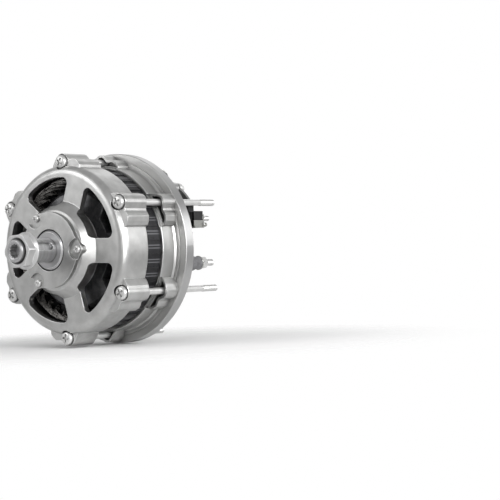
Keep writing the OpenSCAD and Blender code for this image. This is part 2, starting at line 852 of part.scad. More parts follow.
module slip_ring_carrier() {
  ro = slip_d / 2 - 0.6;
  ri = slip_d / 2 - 1.6;
  y1 = y_rb0 - 0.4;
  color("darkslategray")
    turned() difference() {
      translate([slip_shaft_d / 2 + fit, y_carrier0]) square([ro - slip_shaft_d / 2, y1 - y_carrier0]);
      for (y = [y_slip0, y_slip1])
        translate([ri, y - slip_w / 2 - fit]) square([5, slip_w + 2 * fit]);
    }
}

module slip_rings() {
  color("peru")
    for (y = [y_slip0, y_slip1])
      turned() translate([slip_d / 2 - 1.6 + fit, y - slip_w / 2]) square([1.6 - fit, slip_w]);
}

module rear_cap() {
  edge = 0.8;
  color("lightgray")
    difference() {
      turned() polygon([
        [0, y_rb1 + fit], [cap_d / 2, y_rb1 + fit], [cap_d / 2, y_rb1 + cap_t - edge],
        [cap_d / 2 - edge, y_rb1 + cap_t], [0, y_rb1 + cap_t]]);
      rod(0.9, y_rb1 - over, y_rb1 + cap_t + over);
    }
}

// Brushes, their holder and springs

module brush_holder() {
  tall = brush_l + brush_travel + 6 + brush_tip - holder_top;
  plate_y = reg_seat - fit;
  color([0.15, 0.15, 0.16])
    difference() {
      union() {
        translate([-holder_w / 2, holder_y0, -holder_top - tall])
          cube([holder_w, holder_y1 - holder_y0, tall]);
        translate([-holder_w / 2, holder_y1 - 0.1, -holder_top - tall])
          cube([holder_w, plate_y - holder_y1 + 0.1, tall - rear_hub_r + holder_top - 1]);
      }
      for (y = [y_slip0, y_slip1])
        translate([-brush_t / 2 - brush_gap, y - brush_w / 2 - brush_gap, -holder_foot + 1.5])
          cube([brush_t + 2 * brush_gap, brush_w + 2 * brush_gap, holder_foot]);
    }
}

module brush(y) {
  difference() {
    translate([-brush_t / 2, y - brush_w / 2, -brush_tip - brush_l]) cube([brush_t, brush_w, brush_l + 1]);
    rod(brush_tip, y - brush_w, y + brush_w);
  }
}

module brush_front() {
  color("black") brush(y_slip0);
}

module brush_rear() {
  color("black") brush(y_slip1);
}

module brush_spring(y) {
  z1 = -brush_tip - brush_l - 0.1;
  z0 = -holder_foot + 1.6;
  translate([0, y, z0])
    difference() {
      cylinder(d = brush_w - 0.6, h = z1 - z0);
      translate([0, 0, -over]) cylinder(d = brush_w - 1.6, h = z1 - z0 + 2 * over);
    }
}

module spring_front() {
  color("gray") brush_spring(y_slip0);
}

module spring_rear() {
  color("gray") brush_spring(y_slip1);
}

// Regulator

module regulator_plate() {
  low = reg_top_z - reg_h;
  color("darkgray")
    slab(reg_seat, reg_seat + reg_plate_t)
      difference() {
        polygon([
          [reg_mid_x + 28, reg_top_z + 0.7], [36, -30.8], [35.4, -37.9], [31, -42.6],
          [24.4, low + 0.6], [reg_mid_x - 22, low + 0.2], [-30, -43.4], [-35.6, -37.9],
          [-35.6, -31.4], [reg_mid_x - 23, reg_top_z + 3.2], [reg_mid_x - 18.4, reg_top_z]]);
        for (p = reg_screw_at)
          translate(p) circle(rear_clear_r);
      }
}

module regulator_body() {
  y0 = reg_seat + reg_plate_t;
  pitch = reg_h / rib_count;
  rail_l = 71;
  color("gray") {
    translate([reg_mid_x - reg_w / 2, y0, reg_top_z - reg_h]) cube([reg_w, reg_deep, reg_h]);
    for (k = [0:rib_count])
      translate([reg_mid_x - reg_w / 2, y0, reg_top_z - 1.1 - k * (pitch - 0.44)])
        cube([reg_w, reg_deep + 1.5, 1.1]);
    translate([-21.6, y0, reg_top_z - 0.1]) cube([5.6, 6.5, 2.2]);
    for (z = [-28.9, -41.9])
      translate([0.6 - rail_l / 2 + 10, y0, z]) cube([rail_l - 20, reg_deep - 2, 1]);
  }
}

// A pan-head screw at the rear, seated at y, with a cross recess
module rear_screw(r, y, l) {
  difference() {
    turned() polygon(concat(
      [[0, y], [r, y], [r, y + 0.9]],
      arc([r - 1.2, y + 0.9], 1.2, 0, 90, 5),
      [[0, y + 2.1]]));
    for (a = [20, 110])
      rotate([0, a, 0]) translate([0, y + 2.1, 0]) cube([r * 1.25, 2, 0.8], center = true);
  }
  rod(rear_thread_d / 2, y - l, y + 0.2);
}

module regulator_screws() {
  color("gainsboro")
    for (p = reg_screw_at)
      spot(p) rear_screw(3.5, reg_seat + reg_plate_t, reg_plate_t + tap_depth - 2.5);
}

// Rectifier

module sink_outline() {
  intersection() {
    circle(ring_bore_r - 1.4);
    translate([-100, bar_z1]) square([200, 100]);
  }
}

module sink_half(x0, x1) {
  slab(sink_seat, sink_seat + sink_t)
    difference() {
      intersection() {
        sink_outline();
        translate([x0, 0]) square([x1 - x0, 100]);
      }
      for (p = sink_screw_at)
        translate(p) circle(rear_clear_r);
    }
}

module heat_sink_left() {
  color("silver") {
    sink_half(body_x1 + loose, 100);
    for (k = [0:5])
      translate([body_x1 + 8.5 + 1.9 * k, sink_seat + sink_t - 0.1, bar_z1 + 0.4]) cube([1, 1.6, 2.2]);
  }
}

module heat_sink_right() {
  color("silver") {
    sink_half(-100, body_x0 - loose);
    for (k = [0:9])
      translate([body_x0 - 3 - 2.1 * k, sink_seat + sink_t - 0.1, bar_z1 + 0.4]) cube([1, 1.6, 2.2]);
  }
}

// Middle of phase lead k, counted from the left as seen from behind
function lead_x(k) = lead_mid_x + lead_pitch * (1 - k);

rect_depth = 8;
rect_lip = 3;
waist_z = 36;
shoulder_z = 44;
bay_floor_z = 50;

module rectifier_body() {
  y0 = sink_seat - rect_depth;
  bay_w = 10;
  color([0.12, 0.12, 0.13])
    difference() {
      union() {
        slab(y0, rect_top - rect_lip) polygon([
          [body_x0 + 0.4, bar_z0], [body_x1 - 0.4, bar_z0],
          [body_x1, waist_z], [body_x1 - 0.6, shoulder_z],
          [19.5, body_z1], [16, body_z1], [16, bay_floor_z],
          [-13, bay_floor_z], [-13, body_z1], [-16, body_z1],
          [body_x0 + 0.9, 48], [body_x0, 40]]);
        slab(rect_top - rect_lip, rect_top) polygon([
          [body_x0 + 0.4, bar_z0], [body_x1 - 0.4, bar_z0],
          [body_x1, waist_z], [body_x1 - 0.6, shoulder_z],
          [19.5, body_z1], [18.7, body_z1], [18.7, 43], [-15, 43], [-15, body_z1 - 1],
          [-16, body_z1], [body_x0 + 0.9, 48], [body_x0, 40]]);
        for (x = [lead_x(0.5), lead_x(1.5)])
          translate([x - 4.6, rect_top - 3.1, 42.5]) cube([9.2, 2.4, 11.5]);
        translate([-bar_x, sink_seat - 3.5, bar_z0]) cube([2 * bar_x, sink_t + 3.5, bar_z1 - bar_z0]);
      }
      for (k = [0:2])
        translate([lead_x(k) - bay_w / 2, rect_top - 4.5, bar_z0 + 1.5]) cube([bay_w, 10, 8.6]);
      for (p = sink_screw_at)
        spot(p) rod(boss_r + loose, y0 - over, rect_top + over);
    }
}

module power_diodes() {
  color("gray")
    for (k = [0:2])
      translate([lead_x(k), 0, 31]) {
        rod(2.4, rect_top - 4.5 + fit, rect_top - 1.5);
        rod(0.5, rect_top - 1.6, rect_top + 0.4);
      }
}

module rectifier_screws() {
  color("gainsboro")
    for (p = sink_screw_at)
      spot(p) {
        rod(boss_r - 0.5, sink_seat + sink_t + fit, sink_seat + sink_t + 3);
        rear_screw(3.4, sink_seat + sink_t + 3, sink_t + 3 + tap_depth - 3);
      }
}

// Leads: a closed tube with eight sides along a list of points
function tube_dir(pts, i) =
  let (a = pts[max(i - 1, 0)], b = pts[min(i + 1, len(pts) - 1)]) (b - a) / norm(b - a);

function tube_ring(pts, i, r) =
  let (t = tube_dir(pts, i),
       ref = abs(t[1]) < 0.9 ? [0, 1, 0] : [1, 0, 0],
       u = cross(t, ref) / norm(cross(t, ref)),
       v = cross(t, u))
  [for (k = [0:7]) pts[i] + r * (cos(45 * k) * u + sin(45 * k) * v)];

module tube(pts, d) {
  n = len(pts);
  points = [for (i = [0:n - 1]) each tube_ring(pts, i, d / 2)];
  sides = [for (i = [0:n - 2]) for (k = [0:7])
    [8 * i + k, 8 * (i + 1) + k, 8 * (i + 1) + (k + 1) % 8, 8 * i + (k + 1) % 8]];
  polyhedron(points, concat(sides, [[for (k = [0:7]) k]], [[for (k = [7:-1:0]) 8 * (n - 1) + k]]));
}

lug_top_z = 45.2;
lug_y = rect_top + 0.2;

// Route of a phase lead from the winding, over the rectifier, down to its crimp lug
function phase_route(x) = [
  [x, y_core1 + overhang_rear, lead_hole_z], [x, 0, lead_hole_z], [x, 5, 50], [x, 8, 53],
  [x, 10, 56.8], [x, 13, 58.2], [x, rect_top - 4, 58], [x, rect_top, 56.7], [x, rect_top + 2, 53.6],
  [x, rect_top + 2.4, 50], [x, lug_y + lead_d / 2 + 0.5, 47.4], [x, lug_y + lead_d / 2 + 0.4, lug_top_z]];

module phase_lead(k) {
  color("silver") tube(phase_route(lead_x(k)), lead_d);
}

module phase_lead_left() phase_lead(0);

module phase_lead_middle() phase_lead(1);

module phase_lead_right() phase_lead(2);

// Fork lugs that are crimped on the phase leads
module phase_lugs() {
  color("silver")
    for (k = [0:2])
      translate([lead_x(k), lug_y, 0]) {
        translate([-2.8, 0, lug_top_z - 4.6]) cube([5.6, 3, 4.5]);
        translate([-2.1, 0, lug_top_z - 6.6]) cube([4.2, 1.2, 2.1]);
        for (x = [-3, 1])
          translate([x, 0, lug_top_z - 10]) cube([2, 1.2, 3.5]);
      }
}

// Main output terminal

main_ins_h = 13;
main_ring_y = main_seat + main_ins_h;
main_nut_h = 6;

module main_insulator() {
  color("dimgray")
    spot(main_at)
      difference() {
        union() {
          rod(5.7, main_seat + fit, main_seat + 6);
          slab(main_seat + 5.9, main_ring_y) hexagon(9.5);
        }
        rod(main_stud_d / 2 + fit, main_seat, main_ring_y + over);
      }
}

module main_stud() {
  tip = main_stud_top;
  color("gainsboro")
    spot(main_at) {
      rod(main_stud_d / 2, main_seat - 11, tip - 0.8);
      taper(main_stud_d / 2, main_stud_d / 2 - 0.8, tip - 0.8, tip);
    }
}

module main_ring_terminal() {
  neck_a = -22;
  color("silver")
    spot(main_at) {
      slab(main_ring_y + fit, main_ring_y + 1.2)
        difference() {
          union() {
            circle(5.3);
            rotate(180 - neck_a) translate([0, -2.4]) square([9, 4.8]);
          }
          circle(main_stud_d / 2 + 0.1);
        }
      rotate([0, neck_a - 180, 0]) translate([8, main_ring_y + fit, -2.4]) cube([5.5, 3.2, 4.8]);
    }
}

module main_nut() {
  y0 = main_ring_y + 1.2;
  color("gainsboro")
    spot(main_at)
      difference() {
        union() {
          rod(4.2, y0 + fit, y0 + 1);
          intersection() {
            slab(y0 + 0.9, y0 + main_nut_h) hexagon(8);
            taper(8.8, 4.1, y0, y0 + main_nut_h);
          }
        }
        rod(main_stud_d / 2 + fit, y0 - over, y0 + main_nut_h + over);
      }
}

// Strip that joins the rectifier's positive side to the main terminal
module main_link() {
  y1 = sink_seat + sink_t;
  color("darkgray")
    difference() {
      union() {
        translate([36.7, main_seat + 6 + fit, -18]) cube([8.4, 1.5, 27]);
        translate([31.7, main_seat + 6 + fit, 9]) cube([13.5, 2.5, 1.4]);
        translate([31.7, main_seat + 6 + fit, 9]) cube([13.5, 1.5, 4.2]);
      }
      spot(main_at) rod(5.6, main_seat, main_seat + 12);
    }
}

// Small terminal on the left

small_top = 39;

small_block_at = [33, 19.3];
small_block_w = 13.6;

module small_insulator() {
  y0 = sink_seat + sink_t;
  color([0.12, 0.12, 0.13])
    difference() {
      union() {
        translate([small_block_at[0], y0 + fit, small_block_at[1]])
          cube([small_block_w, small_top - y0 - 2 * fit, 6.7]);
        translate([small_block_at[0], sink_seat - 3.5, small_block_at[1] - 4.5])
          cube([11, small_top - sink_seat + 3.5 - fit, 10.2]);
      }
      spot(small_at) rod(small_stud_d / 2 + fit, y0 - over, small_top + over);
      translate([30, sink_seat - 4.5, bar_z0 - fit]) cube([20, sink_t + 4.5 + fit, 20]);
    }
}

module small_bracket() {
  t = 1.2;
  hook_r = 1.6;
  color("silver")
    difference() {
      union() {
        slab(small_top, small_top + t)
          union() {
            translate([31, 14.2]) square([15.6, 9.4]);
            polygon([[31.5, 19], [26, 24], [26, 26.4], [28.4, 26.4], [34, 22.5]]);
            translate([46.5, 14.2]) square([1.5, t]);
            translate([48, 14.2 + hook_r])
              intersection() {
                annulus(hook_r, hook_r - t + 0.2);
                translate([0, -5]) square([5, 10]);
              }
          }
        translate([31, small_top - 9, 13.5]) cube([15.6, 9 + t, t]);
        translate([26.2, small_top - 3, 26.3]) cube([1.4, 3 + t, 8.8]);
        translate([45.4, small_top - 10, 14.6]) cube([t, 10 + t, 4.6]);
      }
      spot(small_at) rod(small_stud_d / 2 + fit, small_top - over, small_top + 2 * over + t);
    }
}

module small_stud() {
  y0 = small_top + 1.2;
  tip = small_stud_top;
  color("gainsboro")
    spot(small_at) {
      rod(small_stud_d / 2, sink_seat + 6, tip - 0.5);
      taper(small_stud_d / 2, small_stud_d / 2 - 0.5, tip - 0.5, tip);
      rod(4.2, y0 + fit, y0 + 0.8);
      slab(y0 + 0.7, y0 + 3.3) hexagon(6.9);
    }
}

// Toothed connector strip between the small terminal and the cap
module comb_connector() {
  top = 25.1;
  low = 5.3;
  steps = 3;
  color("silver")
    slab(reg_seat + 4, sink_seat + 2)
      difference() {
        polygon([[21.8, top], [29.6, top], [28.1, low], [24.2, low]]);
        for (k = [0:steps - 1])
          translate([30.2, low + 3 + 4.6 * k]) rotate(45) square(2.4, center = true);
      }
}

module left_connector() {
  color("whitesmoke")
    translate([27.7, 0, -11.3]) slab(deck(21.7) + 0.1, 22) soft_square(14.6, 7.8, 1.2);
}

// Square terminal block on the right

module right_block() {
  color("gray")
    difference() {
      spot([right_at[0] + 0.4, right_at[1] - 0.4])
        slab(right_pad_y + fit, 22) soft_square(right_block_w, right_block_w, 2.2);
      spot(right_at) rod(5.7, 19, 22 + over);
      spot(right_at) rod(small_stud_d / 2 + 0.5 + fit, 8, 22 + over);
    }
}

module right_stud() {
  color("gainsboro")
    spot(right_at) {
      rod(small_stud_d / 2 + 0.5, 9, 26);
      slab(19 + fit, 22.4) hexagon(7.8);
    }
}

// Bracket, screw and ring terminal on the right

module right_bracket() {
  t = 2;
  color("darkgray")
    difference() {
      union() {
        slab(sink_seat + fit, sink_seat + t)
          union() {
            translate([-32, 8]) square([10, 16.6]);
            translate([-45.6, 15]) square([14, 9.6]);
          }
      }
      spot(bracket_at) rod(rear_clear_r, sink_seat - over, sink_seat + t + over);
    }
}

module right_screw() {
  y0 = sink_seat + 2;
  color("gainsboro")
    spot(bracket_at) {
      slab(y0 + fit, y0 + 1.2)
        difference() {
          union() {
            circle(5.7);
            rotate(-97) translate([0, -2]) square([12.4, 4]);
          }
          circle(2);
        }
      rod(4.5, y0 + 1.2 + fit, y0 + 2.4);
      rear_screw(3.2, y0 + 2.4, tap_depth + 3);
    }
}

module right_connector() {
  y0 = sink_seat + 2;
  color("whitesmoke") {
    translate([-45.6, y0 + fit, 20.2]) cube([13.4, 6, 4.8]);
    translate([-43.5, y0 + fit, 15.2]) cube([9.3, 4, 5.1]);
    translate([-42, y0 + fit, 6]) rotate([0, -33, 0]) translate([-7.8, 0, -3.2]) cube([15.6, 4, 6.4]);
    translate([-41.2, y0 + fit, 8]) cube([3.4, 3, 8]);
  }
}

// Thin leads

tap_route = [[-12.2, rect_top + 2.8, 40.5], [-12.2, rect_top + 3.4, 36], [-12.2, rect_top + 3.4, 30],
             [-12.4, rect_top + 3, 25], [-13, rect_top + 1.4, 20.5], [-14.4, rect_top - 2, 17.2],
             [-15.8, rect_top - 6.5, 15.2], [-16.6, 18, 14.6], [-16.8, 12, 14.5], [-16.8, 9.2, 14.5]];
loop_y = sink_seat + 8;
loop_route = [[-27.6, sink_seat + 4.5, 27], [-28.2, sink_seat + 6, 30], [-28.9, loop_y - 0.5, 34.5],
              [-27.4, loop_y, 38.6], [-24.7, loop_y, 40.2], [-22, loop_y, 38.6], [-20.6, loop_y, 35],
              [-19, loop_y, 30], [-17.9, loop_y - 0.7, 25], [-17.7, loop_y - 2, 19.5],
              [-18.2, loop_y - 3.8, 14], [-19, loop_y - 5.8, 8.5], [-19.7, 27.2, 3], [-20.2, 26, -3],
              [-20.3, 25.4, -9], [-20.1, 24, -14.5], [-19.8, 20.5, -17.8], [-19.8, 19, -19.6]];
main_route = [[32.2, 34.6, -18], [28.5, 33.8, -19.3], [24, 32, -20.2], [17, 29.6, -20.6],
              [9, 27.6, -20.8], [0, 26, -20.9], [-7, 24.4, -20.9], [-12, 22.4, -21],
              [-15.6, 20.6, -21.1]];
band_route = [[-13.6, 9.7, 16.3], [-13.6, 13, 16.4], [-12.2, 15.5, 17.6], [-8, 16.5, 19.9],
              [-3, 17, 21.3], [2.5, 17, 21.4], [8, 17, 19.9], [12.8, 17.2, 17.2],
              [16.4, 17.6, 13.8], [19.2, 18.4, 9.6], [22, 20, 5.4], [25.5, 22.5, 2],
              [29.5, 25, -0.6], [33.5, 26.6, -2.1], [36.6, 26.8, -2.4]];

module lead_phase_tap() {
  color("ivory") tube(tap_route, wire_d);
}

module lead_loop() {
  color("ivory") tube(loop_route, wire_d);
}

module lead_main() {
  color("ivory") tube(main_route, wire_d);
}

module lead_band() {
  color([0.1, 0.1, 0.1]) tube(band_route, band_d);
}

front_housing();
rear_housing();
stator_core();
stator_winding();
through_bolts();
short_bolt();
bearing_retainer();
retainer_screws();
front_bearing_outer();
front_bearing_inner();
front_bearing_balls();
rear_bearing_outer();
rear_bearing_inner();
rear_bearing_balls();
shaft();
spacer_collar();
shaft_nut();
pole_front();
pole_rear();
coil_bobbin();
field_coil();
slip_ring_carrier();
slip_rings();
rear_cap();
brush_holder();
brush_front();
brush_rear();
spring_front();
spring_rear();
regulator_plate();
regulator_body();
regulator_screws();
rectifier_body();
heat_sink_left();
heat_sink_right();
power_diodes();
rectifier_screws();
phase_lead_left();
phase_lead_middle();
phase_lead_right();
phase_lugs();
main_insulator();
main_stud();
main_nut();
main_ring_terminal();
main_link();
small_insulator();
small_bracket();
small_stud();
comb_connector();
left_connector();
right_block();
right_stud();
right_bracket();
right_screw();
right_connector();
lead_phase_tap();
lead_loop();
lead_main();
lead_band();
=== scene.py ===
"""Looks of the engine alternator: studio, windings of single wires, threads, leads and metals.

Lengths are in millimetres until a mesh is made. The shaft runs along Y with its drive end at
-Y, +Z is up, and angles round the shaft run from +X towards +Z.
"""
import math

import bmesh
import bpy
import numpy as np
from mathutils import Matrix, Vector


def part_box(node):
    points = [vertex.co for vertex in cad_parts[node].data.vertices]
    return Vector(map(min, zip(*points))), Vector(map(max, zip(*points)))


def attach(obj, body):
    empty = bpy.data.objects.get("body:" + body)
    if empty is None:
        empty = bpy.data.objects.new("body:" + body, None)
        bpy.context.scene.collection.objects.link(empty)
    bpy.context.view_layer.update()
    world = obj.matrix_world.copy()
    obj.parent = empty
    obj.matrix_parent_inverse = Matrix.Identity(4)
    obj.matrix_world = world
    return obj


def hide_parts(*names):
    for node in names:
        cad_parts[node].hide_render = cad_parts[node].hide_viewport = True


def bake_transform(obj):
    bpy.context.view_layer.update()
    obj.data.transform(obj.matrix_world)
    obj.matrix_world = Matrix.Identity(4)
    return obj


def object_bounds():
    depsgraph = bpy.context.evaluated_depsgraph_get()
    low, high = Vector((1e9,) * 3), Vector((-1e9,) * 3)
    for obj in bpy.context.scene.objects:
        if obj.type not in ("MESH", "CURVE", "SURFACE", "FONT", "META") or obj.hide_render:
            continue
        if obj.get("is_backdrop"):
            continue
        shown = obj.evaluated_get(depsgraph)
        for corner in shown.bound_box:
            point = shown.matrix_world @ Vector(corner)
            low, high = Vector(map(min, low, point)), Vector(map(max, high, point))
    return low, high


MM = 0.001
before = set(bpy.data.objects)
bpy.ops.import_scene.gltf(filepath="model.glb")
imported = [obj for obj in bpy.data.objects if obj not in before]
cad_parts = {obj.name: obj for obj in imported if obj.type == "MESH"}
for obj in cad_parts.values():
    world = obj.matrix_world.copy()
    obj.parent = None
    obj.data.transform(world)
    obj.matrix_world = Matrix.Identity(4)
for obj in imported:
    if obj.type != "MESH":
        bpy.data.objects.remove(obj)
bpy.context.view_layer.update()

# Sizes that the wires, screws and leads share with the frame
bolt_circle = 63.5
bolt_angles = (30, 90, 150, 210, 270, 330)
phase_x = (16.8, 1.9, -13.0)
core_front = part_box("stator_core")[0].y / MM
core_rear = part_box("stator_core")[1].y / MM
winding_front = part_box("stator_winding")[0].y / MM
winding_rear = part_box("stator_winding")[1].y / MM
slot_count = 36


# Meshes

def unit(vectors):
    """Vectors divided by their lengths."""
    return vectors / np.maximum(np.linalg.norm(vectors, axis=-1, keepdims=True), 1e-12)


def grid_faces(rows, columns, around=True):
    """Quads between neighbouring rows and columns of a grid, closed round its columns if around."""
    i = np.arange(rows - 1)[:, None]
    j = np.arange(columns if around else columns - 1)[None, :]
    k = (j + 1) % columns
    quads = np.stack([i * columns + j, i * columns + k, (i + 1) * columns + k, (i + 1) * columns + j], -1)
    return quads.reshape(-1, 4)


def piece(name, parts, material, body="housing", stands_for=(), sharp=35.0):
    """Joins grids of (points in millimetres, quads) into one closed mesh that rides on a body,
    or on none if body is None."""
    points, quads, start = [], [], 0
    for p, q in parts:
        points.append(p.reshape(-1, 3))
        quads.append(q + start)
        start += len(points[-1])
    mesh = bpy.data.meshes.new(name)
    mesh.from_pydata((np.concatenate(points) * MM).tolist(), [], np.concatenate(quads).tolist())
    work = bmesh.new()
    work.from_mesh(mesh)
    bmesh.ops.remove_doubles(work, verts=work.verts, dist=2e-6)
    bmesh.ops.recalc_face_normals(work, faces=work.faces)
    work.to_mesh(mesh)
    work.free()
    mesh.shade_smooth()
    mesh.set_sharp_from_angle(angle=math.radians(sharp))
    mesh.materials.append(material)
    obj = bpy.data.objects.new(name, mesh)
    bpy.context.scene.collection.objects.link(obj)
    if body:
        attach(obj, body)
    if stands_for:
        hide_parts(*stands_for)
    return obj


def turned(profile, sides, centre=(0.0, 0.0)):
    """Surface of revolution about a line along Y: radius r and height y of the profile turn
    through all angles a as (x + r cos a, y, z + r sin a)."""
    r, y = np.asarray(profile, float).T
    a = np.linspace(0, 2 * np.pi, sides, endpoint=False)
    points = np.stack([
        centre[0] + r[:, None] * np.cos(a), np.repeat(y[:, None], sides, 1),
        centre[1] + r[:, None] * np.sin(a)], -1)
    return points, grid_faces(len(r), sides)


def smooth_route(points, count):
    """A Catmull-Rom curve through the route's points, read at count even steps."""
    p = np.asarray(points, float)
    p = np.concatenate([[2 * p[0] - p[1]], p, [2 * p[-1] - p[-2]]])
    t = np.linspace(0, len(points) - 1 - 1e-9, count)
    i = t.astype(int)
    f = (t - i)[:, None]
    a, b, c, d = p[i], p[i + 1], p[i + 2], p[i + 3]
    return 0.5 * (2 * b + (c - a) * f + (2 * a - 5 * b + 4 * c - d) * f**2 + (3 * b - a - 3 * c + d) * f**3)


def swept(paths, radius, sides=8, across=(0.0, 1.0, 0.0), flat=1.0):
    """Wires and strips along paths of shape (wires, steps, 3). At each step the section lies
    square to the path: radius cos a sideways and flat times radius sin a along the direction
    that is square to both. The two ends close to a point."""
    paths = np.asarray(paths, float)
    if paths.ndim == 2:
        paths = paths[None]
    wires, steps = paths.shape[:2]
    along = unit(np.gradient(paths, axis=1))
    order = np.r_[0, np.arange(steps), steps - 1]
    paths, along = paths[:, order], along[:, order]
    u = unit(np.cross(along, np.asarray(across, float)))
    v = np.cross(along, u)
    a = np.linspace(0, 2 * np.pi, sides, endpoint=False)[:, None]
    size = np.full(steps + 2, float(radius))
    size[[0, -1]] = 0.0
    section = np.cos(a) * u[..., None, :] + flat * np.sin(a) * v[..., None, :]
    points = paths[..., None, :] + size[None, :, None, None] * section
    quads = grid_faces(steps + 2, sides)
    shift = (np.arange(wires) * (steps + 2) * sides)[:, None, None]
    return points, (quads[None] + shift).reshape(-1, 4)


# Materials

def colour(code):
    """sRGB hex code as a linear colour with alpha."""
    s = [int(code[i:i + 2], 16) / 255 for i in (1, 3, 5)]
    return [c / 12.92 if c <= 0.04045 else ((c + 0.055) / 1.055) ** 2.4 for c in s] + [1.0]


def add(tree, kind, settings=None, **links):
    """Adds a node: settings are its own values, and links feed its inputs by name or number,
    each from a value or from another node's output."""
    made = tree.nodes.new(kind)
    for key, value in (settings or {}).items():
        setattr(made, key, value)
    for key, value in links.items():
        name = key.replace("_", " ")
        target = made.inputs[int(key[1:])] if key[0] == "i" and key[1:].isdigit() else made.inputs[name]
        if isinstance(value, bpy.types.NodeSocket):
            tree.links.new(value, target)
        else:
            target.default_value = value
    return made


def surface(name, base, metallic, roughness, **extra):
    """A material with its shader's constant values set on the shader itself."""
    material = bpy.data.materials.new(name)
    material.use_nodes = True
    tree = material.node_tree
    shader = tree.nodes["Principled BSDF"]
    shader.inputs["Base Color"].default_value = colour(base)
    shader.inputs["Metallic"].default_value = metallic
    shader.inputs["Roughness"].default_value = roughness
    for key, value in extra.items():
        shader.inputs[key.replace("_", " ")].default_value = value
    return material, tree, shader


def place(tree, scale=(1, 1, 1)):
    """Object coordinates in millimetres, stretched by scale."""
    where = add(tree, "ShaderNodeTexCoord")
    return add(tree, "ShaderNodeMapping", Vector=where.outputs["Object"],
               Scale=[1000 * s for s in scale]).outputs["Vector"]


def mottle(tree, shader, base, other, grain, where=None):
    """Blends two tones by noise whose spots are about grain millimetres wide."""
    noise = add(tree, "ShaderNodeTexNoise", Vector=where or place(tree), Scale=1 / grain, Detail=3.0)
    steps = add(tree, "ShaderNodeMapRange", Value=noise.outputs["Fac"], i1=0.35, i2=0.65)
    mix = add(tree, "ShaderNodeMix", {"data_type": "RGBA"}, Factor=steps.outputs["Result"],
              i6=colour(base), i7=colour(other))
    tree.links.new(mix.outputs[2], shader.inputs["Base Color"])
    return mix


def roughen(tree, shader, low, high, grain):
    """Roughness that wanders between low and high over grain millimetres."""
    noise = add(tree, "ShaderNodeTexNoise", Vector=place(tree), Scale=1 / grain, Detail=4.0)
    steps = add(tree, "ShaderNodeMapRange", Value=noise.outputs["Fac"], i1=0.3, i2=0.7, i3=low, i4=high)
    tree.links.new(steps.outputs["Result"], shader.inputs["Roughness"])


def relief(tree, shader, height, depth, edge=0.0):
    """Bump of depth millimetres from a height, over edges rounded by edge millimetres."""
    bump = add(tree, "ShaderNodeBump", Height=height, Strength=1.0, Distance=depth * MM)
    if edge:
        soft = add(tree, "ShaderNodeBevel", {"samples": 6}, Radius=edge * MM)
        tree.links.new(soft.outputs["Normal"], bump.inputs["Normal"])
    tree.links.new(bump.outputs["Normal"], shader.inputs["Normal"])


def grain_height(tree, size):
    """Height of a fine even grain of the given size in millimetres."""
    return add(tree, "ShaderNodeTexNoise", Vector=place(tree), Scale=1 / size, Detail=3.0).outputs["Fac"]


def painted_recess_shade(tree, shader, base, reach=5.0):
    """Painted shade: darkens a colour where the surface is closed in within reach millimetres."""
    open_sky = add(tree, "ShaderNodeAmbientOcclusion", {"samples": 8}, Distance=reach * MM)
    steps = add(tree, "ShaderNodeMapRange", Value=open_sky.outputs["AO"], i1=0.25, i2=0.85, i3=0.35, i4=1.0)
    shaded = add(tree, "ShaderNodeMix", {"data_type": "RGBA", "blend_type": "MULTIPLY"}, Factor=1.0, i6=base)
    tree.links.new(steps.outputs["Result"], shaded.inputs[7])
    tree.links.new(shaded.outputs[2], shader.inputs["Base Color"])


def painted_edge_highlight(tree, base, light, width):
    """Painted highlight: lightens a colour along edges, over width millimetres, where they catch
    the light. An edge is where the normal averaged over that width leaves the surface's own."""
    shape = add(tree, "ShaderNodeNewGeometry")
    soft = add(tree, "ShaderNodeBevel", {"samples": 6}, Radius=width * MM)
    same = add(tree, "ShaderNodeVectorMath", {"operation": "DOT_PRODUCT"}, i0=shape.outputs["Normal"],
               i1=soft.outputs["Normal"])
    edge_lit = add(tree, "ShaderNodeMapRange", Value=same.outputs["Value"], i1=0.99, i2=0.9, i3=0.0, i4=1.0)
    mix = add(tree, "ShaderNodeMix", {"data_type": "RGBA"}, Factor=edge_lit.outputs["Result"],
              i6=base, i7=colour(light))
    return mix.outputs[2]


def die_cast():
    """Die-cast aluminium, shot-blasted: satin grey with a 0.6 mm grain and soft edges, painted
    highlights along those edges and painted shade in its inner corners."""
    material, tree, shader = surface("die_cast_aluminium_blasted", "#B2B2B2", 1.0, 0.35)
    tone = mottle(tree, shader, "#B6B6B5", "#C4C4C3", 7.0)
    painted_recess_shade(tree, shader, painted_edge_highlight(tree, tone.outputs[2], "#E6E6E6", 0.5))
    roughen(tree, shader, 0.31, 0.4, 2.5)
    relief(tree, shader, grain_height(tree, 0.6), 0.035, 0.6)
    return material


